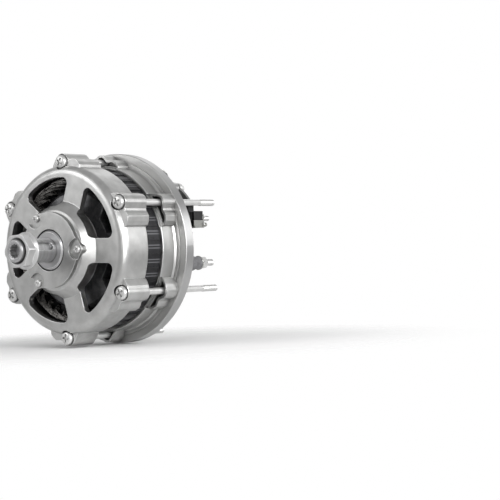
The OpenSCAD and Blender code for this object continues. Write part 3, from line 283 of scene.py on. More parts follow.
def cast_and_turned():
    """The same casting, turned bright on the ring's rear face and rim. The fine grooves that run
    round the shaft there stretch the highlights square to them, and some of them show. On the
    blasted skin the tangents point any way, so its highlights stay round."""
    face_y = -0.3
    front_y = -8.6
    bore_radius = 57.0
    rim_radius = 70.3
    material, tree, shader = surface("die_cast_aluminium_turned_ring", "#B4B4B4", 1.0, 0.42, Anisotropic=0.7)
    where = place(tree)
    split = add(tree, "ShaderNodeSeparateXYZ", Vector=where)
    flat = add(tree, "ShaderNodeVectorMath", {"operation": "MULTIPLY"}, i0=where, i1=(1, 0, 1))
    length = add(tree, "ShaderNodeVectorMath", {"operation": "LENGTH"}, i0=flat.outputs["Vector"])
    radius = length.outputs["Value"]
    on_face = add(tree, "ShaderNodeMath", {"operation": "GREATER_THAN"}, i0=split.outputs["Y"], i1=face_y)
    outside = add(tree, "ShaderNodeMath", {"operation": "GREATER_THAN"}, i0=radius, i1=bore_radius)
    rim = add(tree, "ShaderNodeMath", {"operation": "GREATER_THAN"}, i0=radius, i1=rim_radius)
    behind = add(tree, "ShaderNodeMath", {"operation": "GREATER_THAN"}, i0=split.outputs["Y"], i1=front_y)
    face = add(tree, "ShaderNodeMath", {"operation": "MULTIPLY"}, i0=on_face.outputs[0],
               i1=outside.outputs[0])
    edge = add(tree, "ShaderNodeMath", {"operation": "MULTIPLY"}, i0=rim.outputs[0],
               i1=behind.outputs[0])
    either = add(tree, "ShaderNodeMath", {"operation": "MAXIMUM"}, i0=face.outputs[0], i1=edge.outputs[0])
    machined = either.outputs[0]
    spots = add(tree, "ShaderNodeTexNoise", Vector=where, Scale=1 / 9.0, Detail=3.0)
    tones = add(tree, "ShaderNodeMix", {"data_type": "RGBA"}, Factor=spots.outputs["Fac"],
                i6=colour("#B6B6B5"), i7=colour("#C4C4C3"))
    base = add(tree, "ShaderNodeMix", {"data_type": "RGBA"}, Factor=machined, i6=tones.outputs[2],
               i7=colour("#BABABA"))
    # painted shade: the colour darkens where the surface is closed in
    painted_recess_shade(tree, shader, base.outputs[2])
    rough = add(tree, "ShaderNodeMapRange", Value=machined, i3=0.35, i4=0.32)
    tree.links.new(rough.outputs["Result"], shader.inputs["Roughness"])
    outward = add(tree, "ShaderNodeVectorMath", {"operation": "NORMALIZE"}, i0=flat.outputs["Vector"])
    fine = add(tree, "ShaderNodeVectorMath", {"operation": "SCALE"}, i0=where, Scale=40.0)
    specks = add(tree, "ShaderNodeTexWhiteNoise", {"noise_dimensions": "3D"}, Vector=fine.outputs["Vector"])
    any_way = add(tree, "ShaderNodeVectorMath", {"operation": "SUBTRACT"}, i0=specks.outputs["Color"],
                  i1=(0.5, 0.5, 0.5))
    on_rim = add(tree, "ShaderNodeMix", {"data_type": "VECTOR"}, Factor=edge.outputs[0],
                 i4=outward.outputs["Vector"], i5=(0, 1, 0))
    grooves = add(tree, "ShaderNodeMix", {"data_type": "VECTOR"}, Factor=machined,
                  i4=any_way.outputs["Vector"], i5=on_rim.outputs[1])
    tree.links.new(grooves.outputs[1], shader.inputs["Tangent"])
    grain = add(tree, "ShaderNodeBump", Height=grain_height(tree, 0.6), Strength=1.0, Distance=0.035 * MM)
    soft = add(tree, "ShaderNodeBevel", {"samples": 6}, Radius=0.6 * MM)
    tree.links.new(soft.outputs["Normal"], grain.inputs["Normal"])
    rings = add(tree, "ShaderNodeTexNoise", {"noise_dimensions": "1D"}, W=radius, Scale=3.0, Detail=2.0)
    tilt = add(tree, "ShaderNodeMapRange", Value=rings.outputs["Fac"], i1=0.3, i2=0.7, i3=-0.06, i4=0.06)
    lean = add(tree, "ShaderNodeVectorMath", {"operation": "SCALE"}, i0=outward.outputs["Vector"],
               Scale=tilt.outputs["Result"])
    shape = add(tree, "ShaderNodeNewGeometry")
    leaning = add(tree, "ShaderNodeVectorMath", {"operation": "ADD"}, i0=shape.outputs["Normal"],
                  i1=lean.outputs["Vector"])
    turned_normal = add(tree, "ShaderNodeVectorMath", {"operation": "NORMALIZE"},
                        i0=leaning.outputs["Vector"])
    normal = add(tree, "ShaderNodeMix", {"data_type": "VECTOR"}, Factor=machined, i4=grain.outputs["Normal"],
                 i5=turned_normal.outputs["Vector"])
    tree.links.new(normal.outputs[1], shader.inputs["Normal"])
    return material


def zinc_plated():
    """Zinc-plated steel: bright, slightly cloudy, with painted shade in its recesses."""
    material, tree, shader = surface("steel_zinc_plated", "#D2D2D1", 0.75, 0.36)
    tone = mottle(tree, shader, "#CCCCCB", "#D8D8D7", 6.0)
    painted_recess_shade(tree, shader, tone.outputs[2], 1.5)
    return material


def turned_steel():
    """Turned nut steel: even satin grey, with edges broken by 0.4 mm, painted highlights along
    those edges and painted shade in its recesses."""
    material, tree, shader = surface("steel_turned_satin", "#C2C2C2", 0.6, 0.34)
    tone = mottle(tree, shader, "#BCBCBC", "#C8C8C8", 8.0)
    painted_recess_shade(tree, shader, painted_edge_highlight(tree, tone.outputs[2], "#F4F4F4", 0.5), 2.0)
    relief(tree, shader, grain_height(tree, 0.5), 0.004, 0.4)
    return material


def ground_steel():
    """Ground and turned shaft steel: faint rings of tone run round it, drawn 2 mm apart, which
    is coarser than the real turning marks; painted highlights line its edges and painted shade
    darkens its recesses."""
    material, tree, shader = surface("steel_ground_shaft", "#B2B2B3", 0.9, 0.34)
    tone = mottle(tree, shader, "#A8A8A9", "#BABABB", 1.0, place(tree, (0.03, 0.5, 0.03)))
    painted_recess_shade(tree, shader, painted_edge_highlight(tree, tone.outputs[2], "#F0F0F0", 0.4), 2.5)
    relief(tree, shader, grain_height(tree, 0.6), 0.003, 0.3)
    return material


def lamination():
    """Varnished stack of stamped sheets: dark, with a sheet edge each 0.65 mm, drawn 1 mm apart
    so that they show, and a pair of thin bare lines along the shaft at each slot."""
    material, tree, shader = surface("electrical_steel_varnished_stack", "#2C2C2E", 0.5, 0.45)
    where = place(tree)
    sheets = add(tree, "ShaderNodeTexWave", {"bands_direction": "Y"}, Vector=where, Scale=0.314,
                 Distortion=0.4, Detail=1.0)
    tone = mottle(tree, shader, "#1C1C1E", "#2A2A2C", 5.0)
    split = add(tree, "ShaderNodeSeparateXYZ", Vector=where)
    angle = add(tree, "ShaderNodeMath", {"operation": "ARCTAN2"}, i0=split.outputs["Z"],
                i1=split.outputs["X"])
    turns = add(tree, "ShaderNodeMath", {"operation": "MULTIPLY"}, i0=angle.outputs[0],
                i1=slot_count / (2 * math.pi))
    back = add(tree, "ShaderNodeMath", {"operation": "PINGPONG"}, i0=turns.outputs[0], i1=0.5)
    off = add(tree, "ShaderNodeMath", {"operation": "SUBTRACT"}, i0=back.outputs[0], i1=0.1)
    near = add(tree, "ShaderNodeMath", {"operation": "ABSOLUTE"}, i0=off.outputs[0])
    line = add(tree, "ShaderNodeMapRange", Value=near.outputs[0], i1=0.02, i2=0.05, i3=1.0, i4=0.0)
    streak = add(tree, "ShaderNodeMix", {"data_type": "RGBA"}, Factor=line.outputs["Result"],
                 i6=tone.outputs[2], i7=colour("#68686B"))
    tree.links.new(streak.outputs[2], shader.inputs["Base Color"])
    relief(tree, shader, sheets.outputs["Fac"], 0.05, 0.25)
    return material


def enamelled_wire(name, dark, light):
    """Copper wire under dark insulating enamel and varnish: glossy, tone changes along it."""
    material, tree, shader = surface(name, dark, 0.5, 0.26, Coat_Weight=0.5, Coat_Roughness=0.15)
    tone = mottle(tree, shader, dark, light, 2.4)
    # painted shade: darker where the wires close each other in
    painted_recess_shade(tree, shader, tone.outputs[2], 3.0)
    return material


def forged_pole():
    """Forged claw poles under thin varnish: dark steel with a 0.8 mm scale."""
    material, tree, shader = surface("steel_forged_varnished", "#6C6C6E", 0.7, 0.3)
    tone = mottle(tree, shader, "#5E5E60", "#7C7C7E", 4.0)
    # painted shade: darker where the claws close the surface in
    painted_recess_shade(tree, shader, tone.outputs[2], 8.0)
    relief(tree, shader, grain_height(tree, 0.8), 0.05, 0.6)
    return material


def moulded(name, base, other, roughness, edge=0.35):
    """Moulded plastic with an even 0.35 mm grain, a slight change of tone and edges broken by
    edge millimetres."""
    material, tree, shader = surface(name, base, 0.0, roughness, IOR=1.5)
    mottle(tree, shader, base, other, 6.0)
    relief(tree, shader, grain_height(tree, 0.35), 0.02, edge)
    return material


def pressed(name, base, other, roughness):
    """Rolled and pressed sheet metal: fine streaks from rolling along X."""
    material, tree, shader = surface(name, base, 1.0, roughness)
    tone = mottle(tree, shader, base, other, 6.0, place(tree, (0.25, 1.0, 1.0)))
    # painted shade: darker where the surface is closed in
    painted_recess_shade(tree, shader, tone.outputs[2], 4.0)
    streaks = add(tree, "ShaderNodeTexNoise", Vector=place(tree, (0.1, 1.0, 1.0)), Scale=1.0, Detail=2.0)
    relief(tree, shader, streaks.outputs["Fac"], 0.003, 0.25)
    return material


def slip_copper():
    """Turned slip-ring copper with fine rings of tone round it."""
    material, tree, shader = surface("copper_turned_slip_ring", "#B58868", 1.0, 0.25)
    mottle(tree, shader, "#A97C5D", "#C49A7C", 1.5, place(tree, (0.05, 2.0, 0.05)))
    return material


def carbon():
    """Pressed carbon and graphite: black, with a dull metallic grain."""
    material, tree, shader = surface("graphite_pressed", "#232325", 0.3, 0.5)
    mottle(tree, shader, "#1B1B1D", "#353538", 0.6)
    relief(tree, shader, grain_height(tree, 0.3), 0.02, 0.2)
    return material


def sleeve(name, base, other, roughness):
    """Flexible insulation of a lead: smooth, with a slow change of tone along it."""
    material, tree, shader = surface(name, base, 0.0, roughness, IOR=1.5)
    mottle(tree, shader, base, other, 5.0)
    relief(tree, shader, grain_height(tree, 0.5), 0.02)
    return material


CAST = die_cast()
RING = cast_and_turned()
ZINC = zinc_plated()
STEEL = ground_steel()
STACK = lamination()
WIRE = enamelled_wire("copper_wire_dark_enamel", "#42403E", "#A4A19E")
COIL = enamelled_wire("copper_wire_field_coil", "#2E2A27", "#4E4945")
POLE = forged_pole()
BLACK = moulded("phenolic_moulded_black", "#0C0C0E", "#151517", 0.36)
CAP = moulded("nylon_moulded_grey", "#BEBEBE", "#C8C8C8", 0.5, edge=0.6)
DARK = moulded("phenolic_moulded_dark_grey", "#5C5C5E", "#6A6A6C", 0.45)
BLOCK = moulded("phenolic_moulded_mid_grey", "#8A8A8B", "#969697", 0.45)
NUT = turned_steel()
PALE = moulded("nylon_moulded_pale", "#C6C6C4", "#D0D0CE", 0.5, edge=0.5)
SHEET = pressed("aluminium_sheet_rolled", "#868686", "#949494", 0.4)
TIN = pressed("brass_tinned_pressed", "#B9B9B6", "#A9A9A6", 0.3)
SLIP = slip_copper()
CARBON = carbon()
CREAM = sleeve("silicone_sleeve_cream", "#DDDAD0", "#CFCCC2", 0.45)
RUBBER = sleeve("rubber_sleeve_black", "#131313", "#1E1E1E", 0.5)

FINISHES = {
    CAST: ["front_housing"],
    RING: ["rear_housing"],
    ZINC: ["through_bolts", "short_bolt", "retainer_screws", "regulator_screws", "rectifier_screws",
           "main_stud", "main_nut", "small_stud", "right_stud", "right_screw", "bearing_retainer",
           "main_ring_terminal", "spring_front", "spring_rear"],
    NUT: ["shaft_nut"],
    STEEL: ["front_bearing_outer", "front_bearing_inner", "front_bearing_balls", "rear_bearing_outer",
            "rear_bearing_inner", "rear_bearing_balls", "shaft", "spacer_collar"],
    STACK: ["stator_core"],
    WIRE: ["stator_winding"],
    COIL: ["field_coil"],
    POLE: ["pole_front", "pole_rear"],
    BLACK: ["rectifier_body", "small_insulator", "brush_holder", "slip_ring_carrier", "power_diodes"],
    DARK: ["main_insulator"],
    BLOCK: ["right_block"],
    CAP: ["rear_cap"],
    PALE: ["left_connector", "right_connector", "coil_bobbin"],
    SLIP: ["slip_rings"],
    CARBON: ["brush_front", "brush_rear"],
    SHEET: ["regulator_plate", "regulator_body", "heat_sink_left", "heat_sink_right", "main_link",
            "right_bracket"],
    TIN: ["phase_lead_left", "phase_lead_middle", "phase_lead_right", "phase_lugs", "comb_connector",
          "small_bracket"],
    CREAM: ["lead_phase_tap", "lead_loop", "lead_main"],
    RUBBER: ["lead_band"],
}


def finish_nodes():
    """Gives each node of the frame its material."""
    for material, names in FINISHES.items():
        for name in names:
            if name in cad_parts:
                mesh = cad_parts[name].data
                mesh.materials.clear()
                mesh.materials.append(material)


# Stator winding, wire by wire

def end_turns(start, tip, rng, wires=8, steps=22):
    """Paths of the wires that leave one slot, arch over the end of the core and enter the slot
    three further on. Along t from 0 to 1 the angle grows by the coil's pitch as a smooth step,
    the height is a flattened half sine, and the radius grows from the inner to the outer layer.
    Each wire strays from its neighbours, most at the middle of its arch. The fourth of its
    random numbers is spare."""
    inner = 48.6
    outward = 4.8
    fan = 0.9
    crest = 1.2
    stagger = 1.6
    slot = np.arange(slot_count)[:, None, None] * (360 / slot_count)
    pitch = 3 * 360 / slot_count
    t = np.linspace(0, 1, steps)[None, None, :]
    arch = np.sin(np.pi * t)
    step = t * t * (3 - 2 * t)
    reach = abs(tip - start)
    side = np.sign(tip - start)
    layer = np.linspace(-1, 1, wires)[None, :, None]
    turn_off, shrink, shift, _ = rng.uniform(-1, 1, (4, slot_count, wires, 1))
    angle = slot + pitch * step + turn_off * arch + fan * layer
    height = (reach - crest - stagger * (1 - layer) - 1.2 * np.abs(shrink)) * arch ** 0.55
    radius = inner + outward * t + 1.2 * layer * np.cos(np.pi * t) + shift * arch
    a = np.radians(angle)
    y = start + side * (height - (1 - arch))
    paths = np.stack(np.broadcast_arrays(radius * np.cos(a), y, radius * np.sin(a)), -1)
    return paths.reshape(-1, steps, 3)


def slot_wires(wires=6):
    """Straight wires that fill each slot, 1 mm apart in radius and 1 mm to either side of its
    middle by turns, from just before the core to just behind it."""
    innermost = 48.0
    past = 0.5
    slot = np.radians(np.arange(slot_count) * (360 / slot_count))[:, None, None]
    row = np.arange(wires)[None, :, None]
    radius = innermost + row
    offset = row % 2 * 2 - 1
    t = np.linspace(0, 1, 3)[None, None, :]
    y = core_front - past + (core_rear - core_front + 2 * past) * t
    x = radius * np.cos(slot) - offset * np.sin(slot)
    z = radius * np.sin(slot) + offset * np.cos(slot)
    return np.stack(np.broadcast_arrays(x, y, z), -1).reshape(-1, 3, 3)


def windings():
    """The stator's end turns at both ends, and the wires in its slots."""
    wire = 0.55
    slot_wire = 0.95
    lean = (0.3, 0.1, 0.94)
    rng = np.random.default_rng(11)
    front = swept(end_turns(core_front, winding_front, rng), wire, 6, lean)
    rear = swept(end_turns(core_rear, winding_rear, rng), wire, 6, lean)
    slots = swept(slot_wires(), slot_wire, 6, (1, 0, 0))
    piece("winding_front_turns", [front], WIRE, stands_for=["stator_winding"])
    piece("winding_rear_turns", [rear], WIRE, stands_for=["stator_winding"])
    piece("winding_slot_wires", [slots], WIRE, stands_for=["stator_winding"])


def field_coil():
    """Field winding: a ring whose outer face rises and falls by half a wire at each turn, as the
    absolute sine of the turns counted along the shaft."""
    inner = 17.3
    half_wire = 0.35
    turn = 0.9
    low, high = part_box("field_coil")
    outer = high.x / MM
    y0, y1 = low.y / MM, high.y / MM
    y = np.linspace(y0, y1, 121)
    ripple = outer - half_wire + half_wire * np.abs(np.sin(np.pi * (y - y0) / turn))
    profile = np.concatenate([[[inner, y0]], np.stack([ripple, y], -1), [[inner, y1]], [[inner, y0]]])
    piece("field_coil_turns", [turned(profile, 96)], COIL, "rotor", ["field_coil"], sharp=60)


def brush_springs():
    """Coil springs under the brushes: a helix along Z, (r cos a, r sin a, z), with 6 turns. Its
    lower end stays with the housing, its upper end follows the brush, and it shortens between."""
    turns = 6
    wire = 0.25
    for side in ("front", "rear"):
        low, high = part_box("spring_" + side)
        x, y = (low.x + high.x) / 2 / MM, (low.y + high.y) / 2 / MM
        z0, z1 = low.z / MM, high.z / MM
        radius = (high.x - low.x) / 2 / MM - wire
        t = np.linspace(0, 1, 241)
        a = 2 * np.pi * turns * t
        z = z0 + wire + (z1 - z0 - 2 * wire) * t
        path = np.stack([x + radius * np.cos(a), y + radius * np.sin(a), z], -1)
        coil = swept(path, wire, 8, (0, 0, 1))
        spring = piece("brush_spring_coil_" + side, [coil], ZINC, None, ["spring_" + side])
        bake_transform(spring)


# Screws, studs and nuts

def pan_head(x, z, seat, out, radius, height, turn=0.0, crossed=True):
    """Head of a screw that rises from seat towards out (+1 or -1). Its rim is a quarter circle,
    its top a shallow dome, and a cross sinks into it with softened walls if crossed."""
    sides = 72
    rim = 0.34 * radius
    dome = 0.12 * height
    wide, reach = 0.13 * radius, 0.62 * radius
    wall = 0.18
    a = np.linspace(0, 2 * np.pi, sides, endpoint=False)
    bend = np.radians(np.linspace(0, 90, 7))
    top = np.linspace(radius - rim, 0, 22)[1:]
    r = np.concatenate([[0, radius], radius - rim + rim * np.cos(bend), top])[:, None]
    rise = np.concatenate([[0, 0], height - rim + rim * np.sin(bend), np.full(21, height)])[:, None]
    rise = np.where(rise > 0, rise + dome * (1 - (r / radius) ** 2), rise)
    u = np.abs(r * np.cos(a - math.radians(turn)))
    v = np.abs(r * np.sin(a - math.radians(turn)))
    bar = np.clip((wide - u) / wall + 0.5, 0, 1) * np.clip((reach - v) / wall + 0.5, 0, 1)
    rib = np.clip((wide - v) / wall + 0.5, 0, 1) * np.clip((reach - u) / wall + 0.5, 0, 1)
    sunk = 0.3 * height * np.maximum(bar, rib) * crossed
    y = seat + out * (rise - sunk * (rise > 0.5 * height))
    return np.stack([x + r * np.cos(a), y, z + r * np.sin(a)], -1), grid_faces(len(r), sides)


def rod(x, z, y0, y1, radius, thread=(0.0, 0.0), pitch=0.8):
    """Round bar from y0 to y1 with chamfered ends. Between the two heights of thread its radius
    falls by the thread's depth times a triangle wave of y / pitch + angle / turn, which makes
    one helix, read at six heights in each turn."""
    sides = 48
    depth = 0.3
    bevel = 0.5
    a = np.linspace(0, 2 * np.pi, sides, endpoint=False)
    count = int(max(thread[1] - thread[0], 0) / pitch * 6) + 1
    turns = np.linspace(thread[0], thread[1], count) if count > 1 else []
    y = np.unique(np.concatenate([[y0, y0 + bevel, y1 - bevel, y1], turns]))
    y = y[(y >= y0) & (y <= y1)]
    wave = np.abs((y[:, None] / pitch + a / (2 * np.pi)) % 1 * 2 - 1)
    cut = depth * wave * ((y >= thread[0]) & (y <= thread[1]))[:, None]
    chamfer = np.clip(bevel - np.minimum(y - y0, y1 - y), 0, 1)[:, None]
    r = np.concatenate([np.zeros((1, sides)), radius - np.maximum(cut, chamfer), np.zeros((1, sides))])
    y = np.concatenate([[y0], y, [y1]])[:, None]
    return np.stack([x + r * np.cos(a), y + 0 * r, z + r * np.sin(a)], -1), grid_faces(len(y), sides)


def ring(x, z, y0, y1, inner, outer, edge=0.15):
    """Flat ring with slightly broken edges, turned about a line along Y."""
    return turned([[inner, y0], [outer - edge, y0], [outer, y0 + edge], [outer, y1 - edge],
                   [outer - edge, y1], [inner, y1], [inner, y0]], 48, (x, z))


def hex_nut(x, z, y0, y1, flats, bore, turn=0.0):
    """Hexagon nut whose outline is flats / 2 over the cosine of the angle from each flat's
    middle. Both faces are cut back to a circle a little wider than the flats, in a cone."""
    sides = 72
    a = np.linspace(0, 2 * np.pi, sides, endpoint=False)
    outline = flats / 2 / np.cos(np.radians((np.degrees(a) - turn) % 60 - 30))
    face = np.minimum(outline, 0.51 * flats)
    bored = np.full(sides, float(bore))
    slope = 0.6 * (outline - face)
    r = np.stack([bored, face, outline, outline, face, bored, bored])
    y = np.stack([0 * a + y0, 0 * a + y0, y0 + slope, y1 - slope, 0 * a + y1, 0 * a + y1, 0 * a + y0])
    return np.stack([x + r * np.cos(a), y, z + r * np.sin(a)], -1), grid_faces(len(r), sides)


def split_washer(x, z, y, radius, thick):
    """Sprung ring of round section: a helix of 340 degrees that climbs a third of its thickness."""
    a = np.radians(np.linspace(10, 350, 60))
    path = np.stack([x + radius * np.cos(a), y + thick * (a / 6.3) / 3, z + radius * np.sin(a)], -1)
    return swept(path, thick / 2, 8)


def around(radius, angle):
    """Place (x, z) at a radius and an angle round the shaft."""
    return radius * math.cos(math.radians(angle)), radius * math.sin(math.radians(angle))


def shaft_nut():
    """Nut on the shaft's end. Its outline is flats / 2 over the cosine of the angle from each
    flat's middle, cut to a circle at the front by a 30 degree cone, and it stands on a flange
    whose front is a cone. Inside, a countersink leads to the bore."""
    low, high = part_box("shaft_nut")
    y0, y1 = low.y / MM, high.y / MM
    flange = (high.x - low.x) / 2 / MM
    flats = 22.5
    first = 4.0
    bore = 8.03
    sink = 1.6
    neck = 11.1
    foot = y1 - 3.3
    sides = 144
    a = np.linspace(0, 2 * np.pi, sides, endpoint=False) + math.radians(first)
    outline = flats / 2 / np.cos(np.radians((np.degrees(a) - first) % 60 - 30))
    outline = np.minimum(outline, flats / 2 / math.cos(math.radians(30)) - 0.25)
    face = np.minimum(outline, flats / 2 + 0.9)
    depth = (outline - face) * math.tan(math.radians(30))
    steps = (
        (bore, y0 + sink), (bore + sink, y0), (face - 0.15, y0), (face, y0 + 0.1),
        (outline, y0 + 0.25 + depth), (outline, foot + 0.45), (outline - 0.2, foot + 0.6),
        (neck, foot + 0.65), (neck, foot + 0.1),
        (flange - 0.3, y1 - 1.2), (flange, y1 - 0.9), (flange, y1 - 0.3), (flange - 0.3, y1),
        (bore, y1), (bore, y0 + sink))
    r = np.stack([radius + 0 * a for radius, height in steps])
    y = np.stack([height + 0 * a for radius, height in steps])
    points = np.stack([r * np.cos(a), y, r * np.sin(a)], -1)
    piece("shaft_nut_flanged", [(points, grid_faces(len(steps), sides))], NUT, "rotor", ["shaft_nut"],
          sharp=20)


def housing_screws():
    """Through bolts whose ends are the mounting studs, each with a groove between shank and
    stud, the short bolt at the top, and the bearing retainer's screws."""
    low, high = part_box("through_bolts")
    seat = low.y / MM + 4.0
    tip = high.y / MM
    top = 90
    shank, stud, groove = 2.5, 2.4, 2.0
    shank_end = 0.4
    for angle in bolt_angles:
        x, z = around(bolt_circle, angle)
        head = pan_head(x, z, seat, -1, 4.85, 3.7, 25 + 37 * (angle // 60))
        if angle == top:
            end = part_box("short_bolt")[1].y / MM
            bolt = [head, rod(x, z, seat - 0.3, end, shank),
                    pan_head(x, z, end - 0.1, 1, 3.25, 0.8, crossed=False)]
            piece("short_bolt_cross_head", bolt, ZINC, stands_for=["short_bolt"])
        else:
            bolt = [head, rod(x, z, seat - 0.3, shank_end, shank),
                    rod(x, z, shank_end - 0.6, shank_end + 1.5, groove),
                    rod(x, z, shank_end + 1, tip, stud, (tip - 16, tip))]
            piece("through_bolt_%d" % angle, bolt, ZINC, stands_for=["through_bolts"])
    low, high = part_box("retainer_screws")
    seat = low.y / MM + 2.6
    for angle in (0, 120, 240):
        x, z = around(26.8, angle)
        screw = [pan_head(x, z, seat, -1, 2.7, 1.9, 15 + angle / 3),
                 rod(x, z, seat - 0.3, high.y / MM, 2.0, (-66, -57), 0.7)]
        piece("retainer_screw_%d" % angle, screw, ZINC, stands_for=["retainer_screws"])


def rear_screws():
    """Screws of the regulator and of the rectifier, the latter on round spacers."""
    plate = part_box("regulator_plate")[1].y / MM
    shank = 1.85
    for name, x, z, turn in (("left", 31.4, -34.8, 40), ("right", -31.0, -35.0, 12)):
        screw = [pan_head(x, z, plate, 1, 3.5, 2.3, turn), rod(x, z, plate - 9, plate + 0.3, shank)]
        piece("regulator_screw_" + name, screw, ZINC, stands_for=["regulator_screws"])
    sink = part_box("heat_sink_left")[0].y / MM + 2.5
    top = sink + 3
    for name, x, z, turn in (("left", 30.4, 43.4, 30), ("right", -26.2, 43.6, 5)):
        screw = [pan_head(x, z, top, 1, 3.4, 2.3, turn), rod(x, z, sink - 8, top + 0.3, shank),
                 ring(x, z, sink + 0.03, top, 1.8, 4.3, 0.5)]
        piece("rectifier_screw_" + name, screw, ZINC, stands_for=["rectifier_screws"])


def main_terminal():
    """Main stud with its washer and nut, and the crimped ring terminal under them. The terminal
    points away from the stud at 202 degrees: an eye, a flat tongue and a rolled barrel."""
    x, z = 45.1, -12.8
    low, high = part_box("main_stud")
    tip = high.y / MM
    stud = rod(x, z, low.y / MM, tip, 2.5, (30, tip))
    piece("main_stud_thread", [stud], ZINC, stands_for=["main_stud"])
    low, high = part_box("main_nut")
    foot = low.y / MM
    washer = ring(x, z, foot, foot + 1, 2.53, 4.4)
    nut = hex_nut(x, z, foot + 1.02, high.y / MM, 8.0, 2.53, 10)
    piece("main_nut_washer", [washer, nut], ZINC, stands_for=["main_nut"])
    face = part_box("main_ring_terminal")[0].y / MM
    neck = math.radians(202)
    along = np.array([math.cos(neck), 0, math.sin(neck)])
    middle = np.array([x, face + 0.6, z])
    raised = np.array([0, 0.9, 0])
    eye = ring(x, z, face, face + 1.2, 2.62, 5.3, 0.3)
    tongue = swept([middle + along * s for s in (4.6, 6.5, 8.5)], 2.4, 12, flat=0.25)
    barrel = swept([middle + along * s + raised for s in (8.0, 8.6, 10, 11.5, 12.8, 13.4)], 2.3, 16,
                   flat=0.62)
    piece("main_ring_terminal_crimp", [eye, tongue, barrel], TIN, stands_for=["main_ring_terminal"])


def small_terminal():
    """Small stud with its washer and nut on the bracket."""
    x, z = 40.9, 20.6
    low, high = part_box("small_stud")
    tip = high.y / MM
    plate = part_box("small_bracket")[1].y / MM
    stud = rod(x, z, low.y / MM, tip, 2.0, (plate + 3, tip), 0.7)
    washer = ring(x, z, plate + 0.03, plate + 0.8, 2.0, 4.2)
    nut = hex_nut(x, z, plate + 0.82, plate + 3.3, 7.0, 1.9, 20)
    piece("small_stud_nut", [stud, washer, nut], ZINC, stands_for=["small_stud"])


def right_terminals():
    """Stud with its washer and nut on the right block, and the screw that holds the right
    connector's ring terminal under a split washer."""
    x, z = -43.2, -12.9
    low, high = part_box("right_stud")
    tip = high.y / MM
    stud = rod(x, z, low.y / MM, tip, 2.5, (22, tip))
    washer = ring(x, z, 19.03, 19.8, 2.45, 5.2)
    nut = hex_nut(x, z, 19.82, 22.4, 7.9, 2.4, 5)
    piece("right_stud_nut", [stud, washer, nut], ZINC, stands_for=["right_stud"])
    x, z = -26.9, 16.3
    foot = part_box("right_screw")[0].y / MM
    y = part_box("right_connector")[0].y / MM
    eye = ring(x, z, y, y + 1.17, 2.0, 5.7, 0.3)
    tail = swept([[x - 0.122 * s, y + 0.6, z - 0.993 * s] for s in (3.5, 5, 8, 12.4)], 2.0, 12, flat=0.28)
    sprung = split_washer(x, z, y + 1.75, 3.7, 1.1)
    head = pan_head(x, z, y + 2.4, 1, 3.3, 2.3, 60)
    shank = rod(x, z, foot, y + 2.7, 1.85)
    piece("right_screw_ring_terminal", [eye, tail, sprung, head, shank], ZINC, stands_for=["right_screw"])


def crimp_lugs():
    """Fork lugs on the three phase leads: a rolled barrel, a neck and two prongs each."""
    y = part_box("phase_lugs")[0].y / MM
    barrel_y, flat_y = y + 1.6, y + 0.6
    parts = []
    for x in phase_x:
        parts.append(swept([[x, barrel_y, z] for z in (45.1, 44.8, 43, 41.5, 40.6)], 2.5, 16, flat=0.62))
        parts.append(swept([[x, flat_y, z] for z in (41, 40, 39, 38.2)], 1.9, 12, flat=0.3))
        for side in (-1, 1):
            prong = [[x + side * off, flat_y, z] for off, z in ((1.1, 39.2), (1.8, 38), (2.0, 35.2))]
            parts.append(swept(prong, 0.95, 10, flat=0.6))
    piece("phase_crimp_lugs", parts, TIN, stands_for=["phase_lugs"])


# Leads: radius, sleeve and route of each

leads = {
    "lead_phase_tap": (1.1, CREAM, [
        [-12.2, 33.3, 40.5], [-12.2, 33.9, 36], [-12.2, 33.9, 30], [-12.4, 33.5, 25], [-13, 31.9, 20.5],
        [-14.4, 28.5, 17.2], [-15.8, 24, 15.2], [-16.6, 18, 14.6], [-16.8, 12, 14.5], [-16.8, 9.2, 14.5]]),
    "lead_loop": (1.1, CREAM, [
        [-27.6, 31, 27], [-28.2, 32.5, 30], [-28.9, 34, 34.5], [-27.4, 34.5, 38.6], [-24.7, 34.5, 40.2],
        [-22, 34.5, 38.6], [-20.6, 34.5, 35], [-19, 34.5, 30], [-17.9, 33.8, 25], [-17.7, 32.5, 19.5],
        [-18.2, 30.7, 14], [-19, 28.7, 8.5], [-19.7, 27.2, 3], [-20.2, 26, -3], [-20.3, 25.4, -9],
        [-20.1, 24, -14.5], [-19.8, 20.5, -17.8], [-19.8, 19, -19.6]]),
    "lead_main": (1.1, CREAM, [
        [32.2, 34.6, -18], [28.5, 33.8, -19.3], [24, 32, -20.2], [17, 29.6, -20.6], [9, 27.6, -20.8],
        [0, 26, -20.9], [-7, 24.4, -20.9], [-12, 22.4, -21], [-15.6, 20.6, -21.1]]),
    "lead_band": (1.5, RUBBER, [
        [-13.6, 9.7, 16.3], [-13.6, 13, 16.4], [-12.2, 15.5, 17.6], [-8, 16.5, 19.9], [-3, 17, 21.3],
        [2.5, 17, 21.4], [8, 17, 19.9], [12.8, 17.2, 17.2], [16.4, 17.6, 13.8], [19.2, 18.4, 9.6],
        [22, 20, 5.4], [25.5, 22.5, 2], [29.5, 25, -0.6], [33.5, 26.6, -2.1], [36.6, 26.8, -2.4]])}


def sleeved_leads():
    """Round insulated leads, and the bare tinned strands that leave the start of each."""
    for name, (radius, material, route) in leads.items():
        path = smooth_route(route, 12 * len(route))
        piece(name + "_sleeve", [swept(path, radius, 16)], material, stands_for=[name])
        bare = path[0] + unit(path[0] - path[4]) * np.linspace(2.2, -0.4, 5)[:, None]
        piece(name + "_bare_end", [swept(bare, 0.62 * radius, 10)], TIN)


